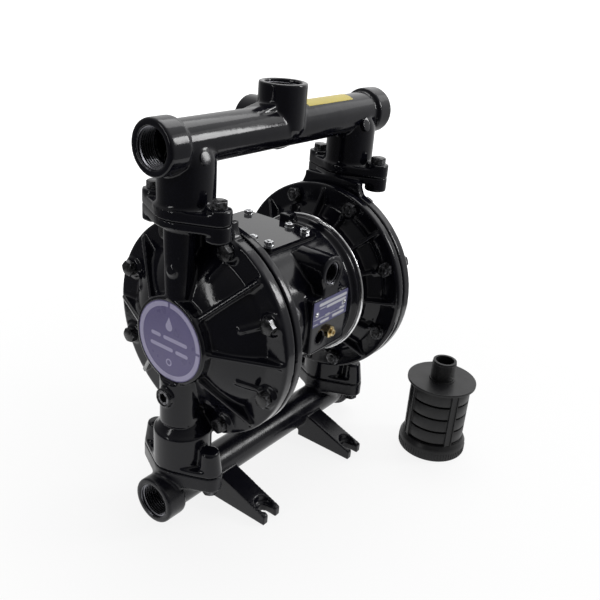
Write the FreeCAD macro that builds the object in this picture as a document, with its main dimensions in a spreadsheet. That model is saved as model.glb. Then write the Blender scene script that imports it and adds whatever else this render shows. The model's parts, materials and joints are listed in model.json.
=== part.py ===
import FreeCAD, Part

# Air operated double diaphragm pump with 25 mm (1 inch) ports and its exhaust silencer.
#
# Frame, in millimetres: X runs along the diaphragm shaft, -Y is the front with the air inlet,
# +Z is up. The origin is on the floor, midway between the four feet.

import os
import re

import Sketcher
from FreeCAD import Placement, Rotation, Vector

doc = FreeCAD.newDocument("diaphragm_pump")
sheet = doc.addObject("Spreadsheet::Sheet", "sizes")

SIZES = {
    # stack of heights, from the floor up
    "bottom_axis_height": 29.5,
    "inlet_neck_height": 30.5,
    "inlet_column_height": 130.0,
    "outlet_column_height": 112.0,
    "outlet_neck_height": 58.5,
    "overrun": 1.0,
    # chambers
    "bead_plane": 88.0,
    "rim_gap": 1.6,
    "rim_radius": 102.0,
    "fluid_rim_thickness": 12.0,
    "air_rim_thickness": 9.2,
    "bead_inner_radius": 82.5,
    "diaphragm_radius": 99.0,
    "diaphragm_thickness": 4.0,
    "roll_height": 9.0,
    "roll_margin": 4.0,
    "bead_margin": 1.0,
    "rim_bolt_circle": 91.0,
    "rim_bolt_radius": 4.0,
    "rim_bolt_spacing": 45.0,
    "hole_clearance": 0.5,
    "thread_clearance": 0.02,
    # fluid caps
    "hub_face": 136.0,
    "hub_radius": 41.0,
    "hub_wall": 16.0,
    "dome_foot_radius": 80.0,
    "dome_shoulder": 124.0,
    "dome_curve": 85.0,
    "dome_wall": 5.5,
    "rib_thickness": 4.0,
    "rib_rise": 6.5,
    "finger_thickness": 4.5,
    "finger_rise": 15.0,
    "finger_foot_radius": 64.8,
    "lug_radius": 9.5,
    "lug_height": 3.0,
    "label_radius": 37.5,
    "label_thickness": 0.8,
    "label_recess": 1.0,
    # fluid columns, valves and flanges
    "neck_offset": 117.5,
    "column_offset": 122.0,
    "lower_column_radius": 18.0,
    "upper_column_radius": 14.0,
    "upper_column_waist": 12.0,
    "upper_column_offset": 124.0,
    "outlet_bore_radius": 8.5,
    "outlet_bore_offset": 122.5,
    "column_bore_radius": 10.5,
    "flange_radius": 27.0,
    "lobe_radius": 11.0,
    "lobe_offset": 36.5,
    "cap_flange_thickness": 7.0,
    "cap_lobe_height": 14.5,
    "saddle_half_width": 39.0,
    "saddle_foot": 33.0,
    "lower_flange_thickness": 5.5,
    "cap_post_height": 23.0,
    "tap_depth": 17.5,
    "chamber_height": 37.0,
    "chamber_radius": 19.0,
    "taper_height": 9.0,
    "seat_radius": 21.4,
    "seat_bore_radius": 12.5,
    "seat_height": 7.0,
    "seat_clearance": 0.1,
    "seat_edge_radius": 13.5,
    "seat_chamfer": 2.0,
    "ball_radius": 15.5,
    "ball_gap": 0.3,
    "ball_lift": 6.0,
    "stop_gap": 0.6,
    "stop_thickness": 4.0,
    "ring_radius": 17.5,
    "ring_section": 1.3,
    "ring_clearance": 0.05,
    "ring_groove_margin": 0.3,
    "drain_gap": 4.0,
    "drain_boss_radius": 9.0,
    "drain_boss_face": 143.5,
    "drain_plug_radius": 6.5,
    "drain_plug_sink": 1.0,
    "drain_plug_length": 8.0,
    "drain_key_flats": 8.0,
    # air caps
    "body_half_length": 55.7,
    "gasket_thickness": 1.6,
    "gasket_lip": 1.3,
    "air_hub_radius": 71.0,
    "air_hub_thickness": 8.7,
    "air_hub_back": 3.0,
    "air_opening_radius": 40.0,
    "air_ledge_radius": 76.0,
    "air_ledge_rise": 4.5,
    "air_dish_radius": 82.0,
    "air_floor_radius": 63.0,
    "air_floor_rise": 4.0,
    "air_step_radius": 60.0,
    "air_rib_thickness": 3.0,
    "air_rib_inset": 1.0,
    "short_rib_rise": 7.0,
    "air_screw_circle": 54.0,
    "air_screw_spacing": 60.0,
    "air_screw_radius": 3.0,
    "air_screw_length": 20.0,
    "air_screw_head": 5.0,
    "air_screw_head_radius": 5.0,
    # diaphragm stack
    "shaft_radius": 9.0,
    "running_clearance": 0.05,
    "clamp_clearance": 0.1,
    "washer_radius": 38.0,
    "washer_thickness": 8.0,
    "washer_edge": 3.0,
    "washer_face_radius": 14.0,
    "stack_screw_radius": 5.0,
    "stack_screw_reach": 20.0,
    "stack_head_radius": 8.0,
    "stack_head_height": 6.0,
    "stroke": 9.0,
    # centre body
    "flange_body_radius": 72.2,
    "flange_body_thickness": 6.0,
    "flange_body_back": 4.0,
    "barrel_radius": 68.0,
    "pad_half_width": 28.0,
    "pad_half_height": 28.0,
    "pad_stand": 0.8,
    "pad_corner": 4.0,
    "inlet_rise": 48.0,
    "inlet_boss_radius": 17.0,
    "inlet_boss_rear": 34.0,
    "inlet_web_half_width": 13.0,
    "inlet_web_overlap": 8.0,
    "pad_hole_depth": 8.0,
    "pad_hole_left": 12.5,
    "pad_hole_drop": 13.3,
    "pad_hole_radius": 6.0,
    "pad_tap_right": 15.0,
    "pad_tap_rise": 30.0,
    "pad_tap_radius": 3.5,
    "inlet_thread_radius": 10.5,
    "inlet_thread_length": 18.0,
    "passage_radius": 5.0,
    "block_half_width": 36.0,
    "block_front": 26.0,
    "block_rear": 66.0,
    "block_rise": 62.8,
    "port_block_rise": 74.4,
    "port_block_front": 11.5,
    "port_block_rear": 23.0,
    "port_block_length": 14.0,
    "exhaust_rise": 36.0,
    "exhaust_boss_radius": 19.0,
    "exhaust_boss_face": 80.0,
    "exhaust_thread_radius": 13.2,
    "exhaust_thread_length": 16.0,
    "exhaust_passage_radius": 9.2,
    "transfer_radius": 4.0,
    "transfer_offset": 24.0,
    "transfer_rise": 26.0,
    "valve_pocket_half_width": 22.0,
    "valve_pocket_front": 18.0,
    "valve_pocket_rear": 50.0,
    "valve_pocket_rise": 24.0,
    "valve_pocket_clearance": 0.3,
    "spool_bore_radius": 8.0,
    "spool_clearance": 0.7,
    "spool_end_land": 5.6,
    "spool_middle_land": 5.0,
    "spool_waist_radius": 4.8,
    "spool_travel": 4.0,
    "sleeve_radius": 11.0,
    "sleeve_port_radius": 3.0,
    "plug_thickness": 4.5,
    "bushing_radius": 13.0,
    "bushing_length": 12.0,
    "seal_length": 5.0,
    "pilot_offset": 26.0,
    "pilot_radius": 4.0,
    "pilot_bushing_radius": 7.0,
    "pilot_bushing_length": 10.0,
    "pilot_ratio": 0.25,
    "pilot_clearance": 0.65,
    "cover_gasket_thickness": 1.2,
    "cover_thickness": 3.0,
    "cover_margin": 1.0,
    "cover_corner": 4.0,
    "stud_radius": 2.5,
    "stud_offset": 27.5,
    "stud_front": 17.0,
    "stud_middle": 2.3,
    "stud_rear": 56.0,
    "stud_depth": 10.0,
    "stud_end": 1.4,
    "cover_nut_flats": 8.0,
    "cover_nut_height": 3.6,
    "plate_half_width": 27.0,
    "plate_lift": 1.0,
    "plate_height": 25.0,
    "plate_thickness": 0.6,
    "rivet_offset": 22.5,
    "rivet_radius": 2.0,
    "rivet_crown_radius": 1.2,
    "rivet_shank_radius": 1.0,
    "rivet_length": 3.6,
    "rivet_height": 1.4,
    "fitting_drop": 11.5,
    "fitting_flats": 11.0,
    "fitting_head": 4.0,
    "fitting_shank_radius": 3.5,
    "fitting_nose": 2.5,
    "fitting_drilling": 1.8,
    "fitting_depth": 10.0,
    "fitting_shank_length": 9.0,
    # manifolds
    "port_face": 155.4,
    "port_thread_radius": 16.6,
    "port_thread_length": 20.0,
    "port_boss_length": 22.0,
    "edge_round": 2.0,
    "top_tube_radius": 19.3,
    "top_boss_radius": 23.0,
    "top_neck_radius": 24.4,
    "top_neck_drop": 15.5,
    "top_bore_radius": 14.5,
    "centre_boss_radius": 22.1,
    "centre_boss_reach": 38.8,
    "gusset_reach": 42.0,
    "gusset_half_width": 11.0,
    "gusset_top": 21.5,
    "boss_chamfer": 6.0,
    "top_flange_thickness": 9.0,
    "top_lobe_height": 13.0,
    "top_stop_height": 6.0,
    "bottom_tube_radius": 18.0,
    "bottom_boss_radius": 22.6,
    "bottom_neck_radius": 25.0,
    "bottom_bore_radius": 13.5,
    "bottom_flange_thickness": 15.0,
    "flange_bolt_radius": 4.0,
    "flange_bolt_grip": 9.0,
    "hex_flats": 13.0,
    "hex_head_height": 5.6,
    "spanner_clearance": 0.8,
    "nut_height": 6.4,
    "thread_end": 1.6,
    "foot_offset": 72.0,
    "foot_width": 24.0,
    "foot_tip": 11.0,
    "foot_tip_height": 10.5,
    "foot_drop": 0.5,
    "foot_arch": 7.0,
    "foot_slot_centre": 66.0,
    "foot_slot_radius": 5.3,
    "spot_face_radius": 9.0,
    "spot_face_height": 9.0,
    # silencer, standing beside the pump
    "silencer_x": 153.8,
    "silencer_y": 130.0,
    "silencer_radius": 33.0,
    "silencer_wall": 3.0,
    "silencer_disc_radius": 37.8,
    "silencer_disc_thickness": 3.0,
    "silencer_disc_top": 87.0,
    "silencer_height": 109.9,
    "nipple_radius": 12.9,
    "nipple_bore_radius": 10.0,
    "base_radius": 37.0,
    "base_height": 19.0,
    "base_skirt_height": 13.0,
    "base_floor": 4.0,
    "spigot_height": 3.0,
    "spigot_clearance": 0.2,
    "slot_pitch": 15.8,
    "slot_rows": 4,
    "slot_first": 20.6,
    "slot_gap": 2.2,
    "strip_width": 9.0,
    "strip_turn": 55.6,
    "strip_rise": 1.0,
    "element_radius": 26.0,
    "element_wall": 5.0,
}

for row, (alias, size) in enumerate(SIZES.items(), start=1):
    sheet.set(f"A{row}", alias)
    sheet.set(f"B{row}", str(size))
    sheet.setAlias(f"B{row}", alias)
doc.recompute()

# places worked out from the sizes, named like them in the formulas
PLACES = {
    "lower_joint_height": "(bottom_axis_height + inlet_neck_height)",
    "axis_height": "(lower_joint_height + inlet_column_height)",
    "upper_joint_height": "(axis_height + outlet_column_height)",
    "top_axis_height": "(upper_joint_height + outlet_neck_height)",
    "drain_height": "(axis_height - hub_radius - drain_boss_radius - drain_gap)",
    "pad_low": "(axis_height - pad_half_height)",
    "pad_high": "(axis_height + pad_half_height)",
    "pad_face": "(flange_body_radius + pad_stand)",
    "plate_low": "(axis_height + plate_lift)",
    "plate_high": "(plate_low + plate_height)",
    "fitting_height": "(plate_low - fitting_drop)",
    "inlet_height": "(axis_height + inlet_rise)",
    "exhaust_height": "(axis_height + exhaust_rise)",
    "block_top": "(axis_height + block_rise)",
    "valve_pocket_floor": "(axis_height + valve_pocket_rise)",
    "foot_top": "(bottom_axis_height - foot_drop)",
    "foot_shoulder": "(bottom_tube_radius + edge_round)",
    "foot_reach": "(foot_slot_centre + foot_tip)",
}

ALIAS = re.compile(r"[a-z_]+")
PUMP_AXIS = ("0", "0", "axis_height")
AIMS = {
    "+Z": Rotation(),
    "-Z": Rotation(Vector(1, 0, 0), 180),
    "+X": Rotation(Vector(0, 1, 0), 90),
    "-X": Rotation(Vector(0, 1, 0), -90),
    "+Y": Rotation(Vector(1, 0, 0), -90),
    "-Y": Rotation(Vector(1, 0, 0), 90),
}

# places along the shaft and in the valves
FLUID_RIM_IN = "(bead_plane + rim_gap / 2)"
FLUID_RIM_OUT = f"({FLUID_RIM_IN} + fluid_rim_thickness)"
AIR_RIM_OUT = "(bead_plane - rim_gap / 2)"
AIR_RIM_IN = f"({AIR_RIM_OUT} - air_rim_thickness)"
AIR_HUB_FACE = "(body_half_length + gasket_thickness)"
AIR_HUB_INNER = f"({AIR_HUB_FACE} + air_hub_thickness)"
CAVITY_END = "(hub_face - hub_wall)"
STACK_IN = "(bead_plane - diaphragm_thickness / 2 - clamp_clearance)"
STACK_OUT = "(bead_plane + diaphragm_thickness / 2 + clamp_clearance)"
SHAFT_END = f"({STACK_IN} - washer_thickness)"
WASHER_FACE = f"({STACK_OUT} + washer_thickness)"
LUG_FACE = f"({FLUID_RIM_OUT} + lug_height)"
COVER_LOW = "(block_top + cover_gasket_thickness)"
COVER_TOP = f"({COVER_LOW} + cover_thickness)"
SEAT_REST = "(seat_height + sqrt(ball_radius ^ 2 - seat_edge_radius ^ 2) + ball_gap)"
STOP_REACH = f"({SEAT_REST} + ball_radius + ball_lift + stop_gap)"
VALVE_MIDDLE = "((valve_pocket_rear - valve_pocket_front) / 2)"
SPOOL_HEIGHT = "((valve_pocket_floor + block_top) / 2)"
VALVE_HALF = "(valve_pocket_half_width - valve_pocket_clearance)"
SPOOL_HALF = f"({VALVE_HALF} - plug_thickness - spool_travel - spool_clearance)"

NODES = []


def formula(text):
    """The text with its places worked out and each size replaced by its cell in the sheet."""
    while any(word in PLACES for word in ALIAS.findall(text)):
        text = ALIAS.sub(lambda word: PLACES.get(word.group(), word.group()), text)
    return ALIAS.sub(lambda word: "sizes." + word.group() if word.group() in SIZES else word.group(), text)


def value(text):
    """What a formula comes to with the present sizes."""
    return float(sheet.evalExpression(formula(text)))


def settle(shape, at, aim="+Z"):
    """Aim a shape and tie its place to the sheet."""
    shape.Placement = Placement(Vector(), AIMS[aim])
    for axis, text in zip("xyz", at):
        shape.setExpression("Placement.Base." + axis, formula(text))
    return shape


def primitive(kind, name, sizes, at, aim="+Z"):
    shape = doc.addObject("Part::" + kind, name)
    for size, text in sizes.items():
        shape.setExpression(size, formula(text))
    return settle(shape, at, aim)


def rod(name, radius, length, at, aim="+Z"):
    return primitive("Cylinder", name, {"Radius": radius, "Height": length}, at, aim)


def cone(name, radius, end_radius, length, at, aim="+Z"):
    return primitive("Cone", name, {"Radius1": radius, "Radius2": end_radius, "Height": length}, at, aim)


def block(name, length, width, height, at):
    return primitive("Box", name, {"Length": length, "Width": width, "Height": height}, at)


def hexagon(name, flats, height, at, aim="+Z"):
    shape = primitive("Prism", name, {"Circumradius": f"{flats} / sqrt(3)", "Height": height}, at, aim)
    shape.Polygon = 6
    return shape


def fuse(name, shapes, refine=True):
    joined = doc.addObject("Part::MultiFuse", name)
    joined.Shapes = shapes
    joined.Refine = refine
    return joined


def group(name, shapes):
    """Separate solids kept side by side in one node."""
    together = doc.addObject("Part::Compound", name)
    together.Links = shapes
    return together


def cut(name, base, tools, refine=True):
    left = doc.addObject("Part::Cut", name)
    left.Base = base
    left.Tool = tools[0] if len(tools) == 1 else fuse(name + "_tools", tools, False)
    left.Refine = refine
    return left


def mirror(name, source):
    """The same piece on the left of the pump."""
    reflected = doc.addObject("Part::Mirroring", name)
    reflected.Source = source
    reflected.Normal = (1, 0, 0)
    return reflected


def keep(label, shape):
    """Mark a finished piece as a node of the assembly."""
    shape.Label = label
    NODES.append(shape)
    return shape


def keep_pair(label, make):
    """A piece on the right of the pump and its mirror image on the left."""
    right = keep(label + "_right", make(label + "_right"))
    keep(label + "_left", mirror(label + "_left", right))
    return right


def datum(body, role):
    return next(feature for feature in body.Origin.OriginFeatures if feature.Role == role)


def arc_between(start, end, radius, side):
    """The short arc of a radius from start to end, its centre on the left (1) or right (-1)."""
    chord = end - start
    middle = (start + end) * 0.5
    height = max(radius**2 - (chord.Length / 2) ** 2, 0) ** 0.5
    across = Vector(-chord.y, chord.x, 0).normalize()
    circle = Part.Circle(middle + across * height * side, Vector(0, 0, 1), radius)
    first, last = (start, end) if side > 0 else (end, start)
    return Part.ArcOfCircle(circle, circle.parameter(first), circle.parameter(last))


def sketch(body, name, role, outline, offset=None):
    """A closed outline on an origin plane of the body, every corner tied to the sheet.

    A corner is (across, up); with (across, up, radius, side) the side that ends there is an arc.
    """
    drawing = body.newObject("Sketcher::SketchObject", name)
    drawing.AttachmentSupport = [(datum(body, role), "")]
    drawing.MapMode = "FlatFace"
    if offset:
        drawing.AttachmentOffset = offset
    corners = [Vector(value(corner[0]), value(corner[1]), 0) for corner in outline]
    count = len(outline)
    ends = []
    for index in range(count):
        start = corners[index - 1]
        end = corners[index]
        bend = outline[index][2:]
        if bend:
            drawing.addGeometry(arc_between(start, end, value(bend[0]), bend[1]), False)
            ends.append((1, 2) if bend[1] > 0 else (2, 1))
        else:
            drawing.addGeometry(Part.LineSegment(start, end), False)
            ends.append((1, 2))
    for index in range(count):
        after = (index + 1) % count
        drawing.addConstraint(Sketcher.Constraint("Coincident", index, ends[index][1], after, ends[after][0]))
    for index, corner in enumerate(outline):
        for kind, text in zip(("DistanceX", "DistanceY"), corner):
            size = value(text)
            tie = drawing.addConstraint(Sketcher.Constraint(kind, -1, 1, index, ends[index][1], size))
            drawing.setExpression(f"Constraints[{tie}]", formula(text))
        if corner[2:]:
            tie = drawing.addConstraint(Sketcher.Constraint("Radius", index, value(corner[2])))
            drawing.setExpression(f"Constraints[{tie}]", formula(corner[2]))
    return drawing


def turned(name, axis, outline, at=("0", "0", "0")):
    """A body turned about its own X or Z axis."""
    body = doc.addObject("PartDesign::Body", name)
    profile = sketch(body, name + "_profile", "XZ_Plane", outline)
    turn = body.newObject("PartDesign::Revolution", name + "_turn")
    turn.Profile = profile
    turn.ReferenceAxis = (datum(body, axis), [""])
    turn.Angle = 360
    body.Tip = turn
    return settle(body, at)


def pad(body, name, profile, length, both_ways=False):
    feature = body.newObject("PartDesign::Pad", name)
    feature.Profile = profile
    feature.setExpression("Length", formula(length))
    feature.Midplane = both_ways
    body.Tip = feature
    return feature


def padded(name, role, outline, length, at=("0", "0", "0"), both_ways=False):
    """A body padded from one outline."""
    body = doc.addObject("PartDesign::Body", name)
    pad(body, name + "_pad", sketch(body, name + "_outline", role, outline), length, both_ways)
    return settle(body, at)


def repeat_round(body, name, feature, spacing):
    """Copies of a feature all round the body's X axis."""
    pattern = body.newObject("PartDesign::PolarPattern", name)
    pattern.Originals = [feature]
    pattern.Axis = (datum(body, "X_Axis"), [""])
    pattern.Angle = 360
    pattern.Occurrences = round(360 / value(spacing))
    body.Tip = pattern
    return pattern


def radial_web(body, name, outline, thickness, turn=0.0):
    """A thin radial web on the body, repeated round its X axis at the bolt spacing."""
    offset = Placement(Vector(), Rotation(Vector(1, 0, 0), turn))
    profile = sketch(body, name + "_profile", "XZ_Plane", outline, offset)
    web = pad(body, name + "_web", profile, thickness, True)
    return repeat_round(body, name + "_webs", web, "rim_bolt_spacing")


def ring_places(radius, spacing, first):
    """Places round the pump's axis, as formulas for Y and Z."""
    count = round(360 / value(spacing))
    for number in range(count):
        angle = f"({first} + {number} * {spacing})"
        yield number, f"{radius} * sin({angle})", f"axis_height + {radius} * cos({angle})"


def rim_bolt_places():
    return ring_places("rim_bolt_circle", "rim_bolt_spacing", "rim_bolt_spacing / 2")


def air_screw_places():
    return ring_places("air_screw_circle", "air_screw_spacing", "air_screw_spacing / 2")


def flange_outline():
    """Oval flange: a round middle with a bolt lobe on each side along Y."""
    lean = "((flange_radius - lobe_radius) / lobe_offset)"
    square = f"sqrt(1 - {lean} ^ 2)"
    wide = f"flange_radius * {lean}"
    deep = f"flange_radius * {square}"
    far = f"lobe_offset + lobe_radius * {lean}"
    side = f"lobe_radius * {square}"
    return [
        (deep, f"-({wide})"),
        (deep, wide, "flange_radius", 1),
        (side, far),
        (f"-({side})", far, "lobe_radius", 1),
        (f"-({deep})", wide),
        (f"-({deep})", f"-({wide})", "flange_radius", 1),
        (f"-({side})", f"-({far})"),
        (side, f"-({far})", "lobe_radius", 1),
    ]


def flange_plate(name, thickness, height):
    return padded(name, "XY_Plane", flange_outline(), thickness, ("neck_offset", "0", height))


def lobe_rods(name, radius, length, height, aim="+Z"):
    """One upright rod at each bolt lobe of the right flange."""
    sides = (("front", "-lobe_offset"), ("rear", "lobe_offset"))
    return [rod(f"{name}_{side}", radius, length, ("neck_offset", y, height), aim) for side, y in sides]


# Fluid caps

def fluid_dome(name):
    """Turned dome with its radial webs, gusset fingers and bolt lugs."""
    body = turned(name, "X_Axis", [
        (FLUID_RIM_IN, "0"),
        (FLUID_RIM_IN, "rim_radius"),
        (f"{FLUID_RIM_OUT} - edge_round", "rim_radius"),
        (FLUID_RIM_OUT, "rim_radius - edge_round", "edge_round", -1),
        (FLUID_RIM_OUT, "dome_foot_radius"),
        ("dome_shoulder", "hub_radius", "dome_curve", -1),
        ("hub_face - edge_round", "hub_radius"),
        ("hub_face", "hub_radius - edge_round", "edge_round", -1),
        ("hub_face", "label_radius + label_thickness"),
        ("hub_face - label_recess", "label_radius + label_thickness"),
        ("hub_face - label_recess", "0"),
    ], PUMP_AXIS)
    radial_web(body, name + "_rib", [
        (CAVITY_END, "hub_radius - rib_thickness"),
        ("dome_shoulder + rib_rise", "hub_radius - rib_thickness"),
        ("dome_shoulder + rib_rise", "hub_radius + edge_round"),
        (f"{FLUID_RIM_OUT} + rib_rise / 2", "rim_radius - rib_thickness"),
        (f"{FLUID_RIM_OUT} - edge_round", "rim_radius - rib_thickness"),
        (f"{FLUID_RIM_OUT} - edge_round", "dome_foot_radius"),
    ], "rib_thickness")
    radial_web(body, name + "_finger", [
        (f"{FLUID_RIM_OUT} - edge_round", "rim_bolt_circle - lug_radius"),
        (f"{FLUID_RIM_OUT} + edge_round", "rim_bolt_circle - lug_radius"),
        (f"{FLUID_RIM_OUT} + finger_rise", "finger_foot_radius"),
        (f"{FLUID_RIM_OUT} + lug_height", "finger_foot_radius"),
    ], "finger_thickness", value("rim_bolt_spacing") / 2)
    lug_turn = Placement(Vector(), Rotation(Vector(0, 0, 1), value("rim_bolt_spacing") / 2))
    lug = body.newObject("Sketcher::SketchObject", name + "_lug_circle")
    lug.AttachmentSupport = [(datum(body, "YZ_Plane"), "")]
    lug.MapMode = "FlatFace"
    lug.AttachmentOffset = lug_turn
    lug.addGeometry(Part.Circle(Vector(0, value("rim_bolt_circle"), 0), Vector(0, 0, 1), value("lug_radius")))
    lug.addConstraint(Sketcher.Constraint("PointOnObject", 0, 3, -2))
    centre = lug.addConstraint(Sketcher.Constraint("DistanceY", -1, 1, 0, 3, value("rim_bolt_circle")))
    lug.setExpression(f"Constraints[{centre}]", "sizes.rim_bolt_circle")
    width = lug.addConstraint(Sketcher.Constraint("Radius", 0, value("lug_radius")))
    lug.setExpression(f"Constraints[{width}]", "sizes.lug_radius")
    lug.setExpression("AttachmentOffset.Base.z", formula(f"{FLUID_RIM_OUT} - edge_round"))
    boss = pad(body, name + "_lug", lug, "lug_height + edge_round")
    repeat_round(body, name + "_lugs", boss, "rim_bolt_spacing")
    return body


def fluid_cap(name):
    """Fluid chamber cap: ribbed dome, inlet valve chamber below, outlet column above."""
    dome = fluid_dome(name + "_dome")
    chamber = turned(name + "_chamber", "Z_Axis", [
        ("0", "0"),
        ("flange_radius", "0"),
        ("flange_radius", "chamber_height - edge_round"),
        ("flange_radius - edge_round", "chamber_height", "edge_round", 1),
        ("lower_column_radius", "chamber_height + taper_height"),
        ("lower_column_radius", "chamber_height + 2 * taper_height"),
        ("0", "chamber_height + 2 * taper_height"),
    ], ("neck_offset", "0", "lower_joint_height"))
    lower_column = rod(
        name + "_lower_column", "lower_column_radius",
        "axis_height - hub_radius + edge_round - lower_joint_height - chamber_height - taper_height",
        ("column_offset", "0", "lower_joint_height + chamber_height + taper_height"))
    upper_column = cone(
        name + "_upper_column", "upper_column_waist", "upper_column_radius",
        "upper_joint_height - cap_flange_thickness / 2 - axis_height - hub_radius / 2",
        ("upper_column_offset", "0", "axis_height + hub_radius / 2"))
    saddle = padded(name + "_saddle", "YZ_Plane", [
        ("-saddle_half_width", "upper_joint_height - cap_flange_thickness / 2"),
        ("-saddle_half_width", "upper_joint_height - cap_flange_thickness - edge_round"),
        ("-saddle_foot", "axis_height + dome_foot_radius + edge_round"),
        ("saddle_foot", "axis_height + dome_foot_radius + edge_round"),
        ("saddle_half_width", "upper_joint_height - cap_flange_thickness - edge_round"),
        ("saddle_half_width", "upper_joint_height - cap_flange_thickness / 2"),
    ], "fluid_rim_thickness - edge_round", (FLUID_RIM_IN, "0", "0"))
    posts = lobe_rods(name + "_post", "lobe_radius", "cap_post_height", "lower_joint_height")
    lobes = lobe_rods(
        name + "_lobe", "lobe_radius", "cap_lobe_height", "upper_joint_height - cap_lobe_height")
    drain_boss = rod(
        name + "_drain_boss", "drain_boss_radius", "drain_boss_face - column_offset",
        ("column_offset", "0", "drain_height"), "+X")
    metal = fuse(name + "_metal", [
        dome, chamber, lower_column, upper_column, drain_boss, saddle, *posts, *lobes,
        flange_plate(name + "_lower_flange", "lower_flange_thickness", "lower_joint_height"),
        flange_plate(
            name + "_upper_flange", "cap_flange_thickness", "upper_joint_height - cap_flange_thickness"),
    ])
    cavity = turned(name + "_cavity", "X_Axis", [
        (f"{FLUID_RIM_IN} - overrun", "0"),
        (f"{FLUID_RIM_IN} - overrun", "bead_inner_radius"),
        (FLUID_RIM_IN, "bead_inner_radius"),
        (f"{FLUID_RIM_OUT} - dome_wall", "dome_foot_radius - dome_wall / 2"),
        (CAVITY_END, "hub_radius - dome_wall", "dome_curve", -1),
        (CAVITY_END, "0"),
    ], PUMP_AXIS)
    seat_pocket = rod(
        name + "_seat_pocket", "seat_radius + seat_clearance", "seat_height",
        ("neck_offset", "0", "lower_joint_height"))
    ball_room = rod(
        name + "_ball_room", "chamber_radius", STOP_REACH, ("neck_offset", "0", "lower_joint_height"))
    room_top = cone(
        name + "_room_top", "chamber_radius", "column_bore_radius", "taper_height",
        ("neck_offset", "0", f"lower_joint_height + {STOP_REACH}"))
    inlet_bore = rod(
        name + "_inlet_bore", "column_bore_radius",
        f"axis_height - hub_radius / 2 - lower_joint_height - {STOP_REACH}",
        ("(neck_offset + column_offset) / 2", "0", f"lower_joint_height + {STOP_REACH}"))
    outlet_bore = rod(
        name + "_outlet_bore", "outlet_bore_radius", "upper_joint_height - axis_height - hub_radius / 4",
        ("outlet_bore_offset", "0", "axis_height + hub_radius / 4"))
    outlet_mouth = rod(
        name + "_outlet_mouth", "seat_bore_radius", "edge_round",
        ("neck_offset", "0", "upper_joint_height - edge_round"))
    label_seat = rod(
        name + "_label_seat", "label_radius + label_thickness", "drain_boss_face - hub_face",
        ("hub_face - label_recess", "0", "axis_height"), "+X")
    drain_bore = rod(
        name + "_drain_bore", "drain_plug_radius + thread_clearance", "drain_boss_face - neck_offset",
        ("neck_offset", "0", "drain_height"), "+X")
    rim_holes = [
        rod(f"{name}_rim_hole_{number}", "rim_bolt_radius + hole_clearance",
            "fluid_rim_thickness + lug_height", (FLUID_RIM_IN, y, z), "+X")
        for number, y, z in rim_bolt_places()]
    lower_holes = lobe_rods(
        name + "_lower_tap", "flange_bolt_radius + thread_clearance", "tap_depth", "lower_joint_height")
    upper_holes = lobe_rods(
        name + "_upper_tap", "flange_bolt_radius + thread_clearance", "cap_lobe_height",
        "upper_joint_height - cap_lobe_height")
    hollow = cut(name + "_hollow", metal, [
        cavity, seat_pocket, ball_room, room_top, inlet_bore, outlet_bore, outlet_mouth, drain_bore, label_seat,
        *rim_holes, *lower_holes, *upper_holes])
    stop = block(
        name + "_stop", "stop_thickness", "2 * chamber_radius", "taper_height",
        ("neck_offset - stop_thickness / 2", "-chamber_radius", f"lower_joint_height + {STOP_REACH}"))
    return fuse(name, [hollow, stop])


keep_pair("fluid_cap", fluid_cap)


def label_disc(name):
    return rod(name, "label_radius", "label_thickness", ("hub_face - label_recess", "0", "axis_height"), "+X")


keep_pair("label_disc", label_disc)


def drain_plug(name):
    """Threaded plug with a hexagonal key socket."""
    face = "(drain_boss_face - drain_plug_sink)"
    body = rod(
        name + "_body", "drain_plug_radius", "drain_plug_length",
        (f"{face} - drain_plug_length", "0", "drain_height"), "+X")
    socket = hexagon(
        name + "_socket", "drain_key_flats", "drain_plug_length / 2",
        (f"{face} - drain_plug_length / 2", "0", "drain_height"), "+X")
    return cut(name, body, [socket])


keep_pair("drain_plug", drain_plug)


# Air caps

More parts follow.
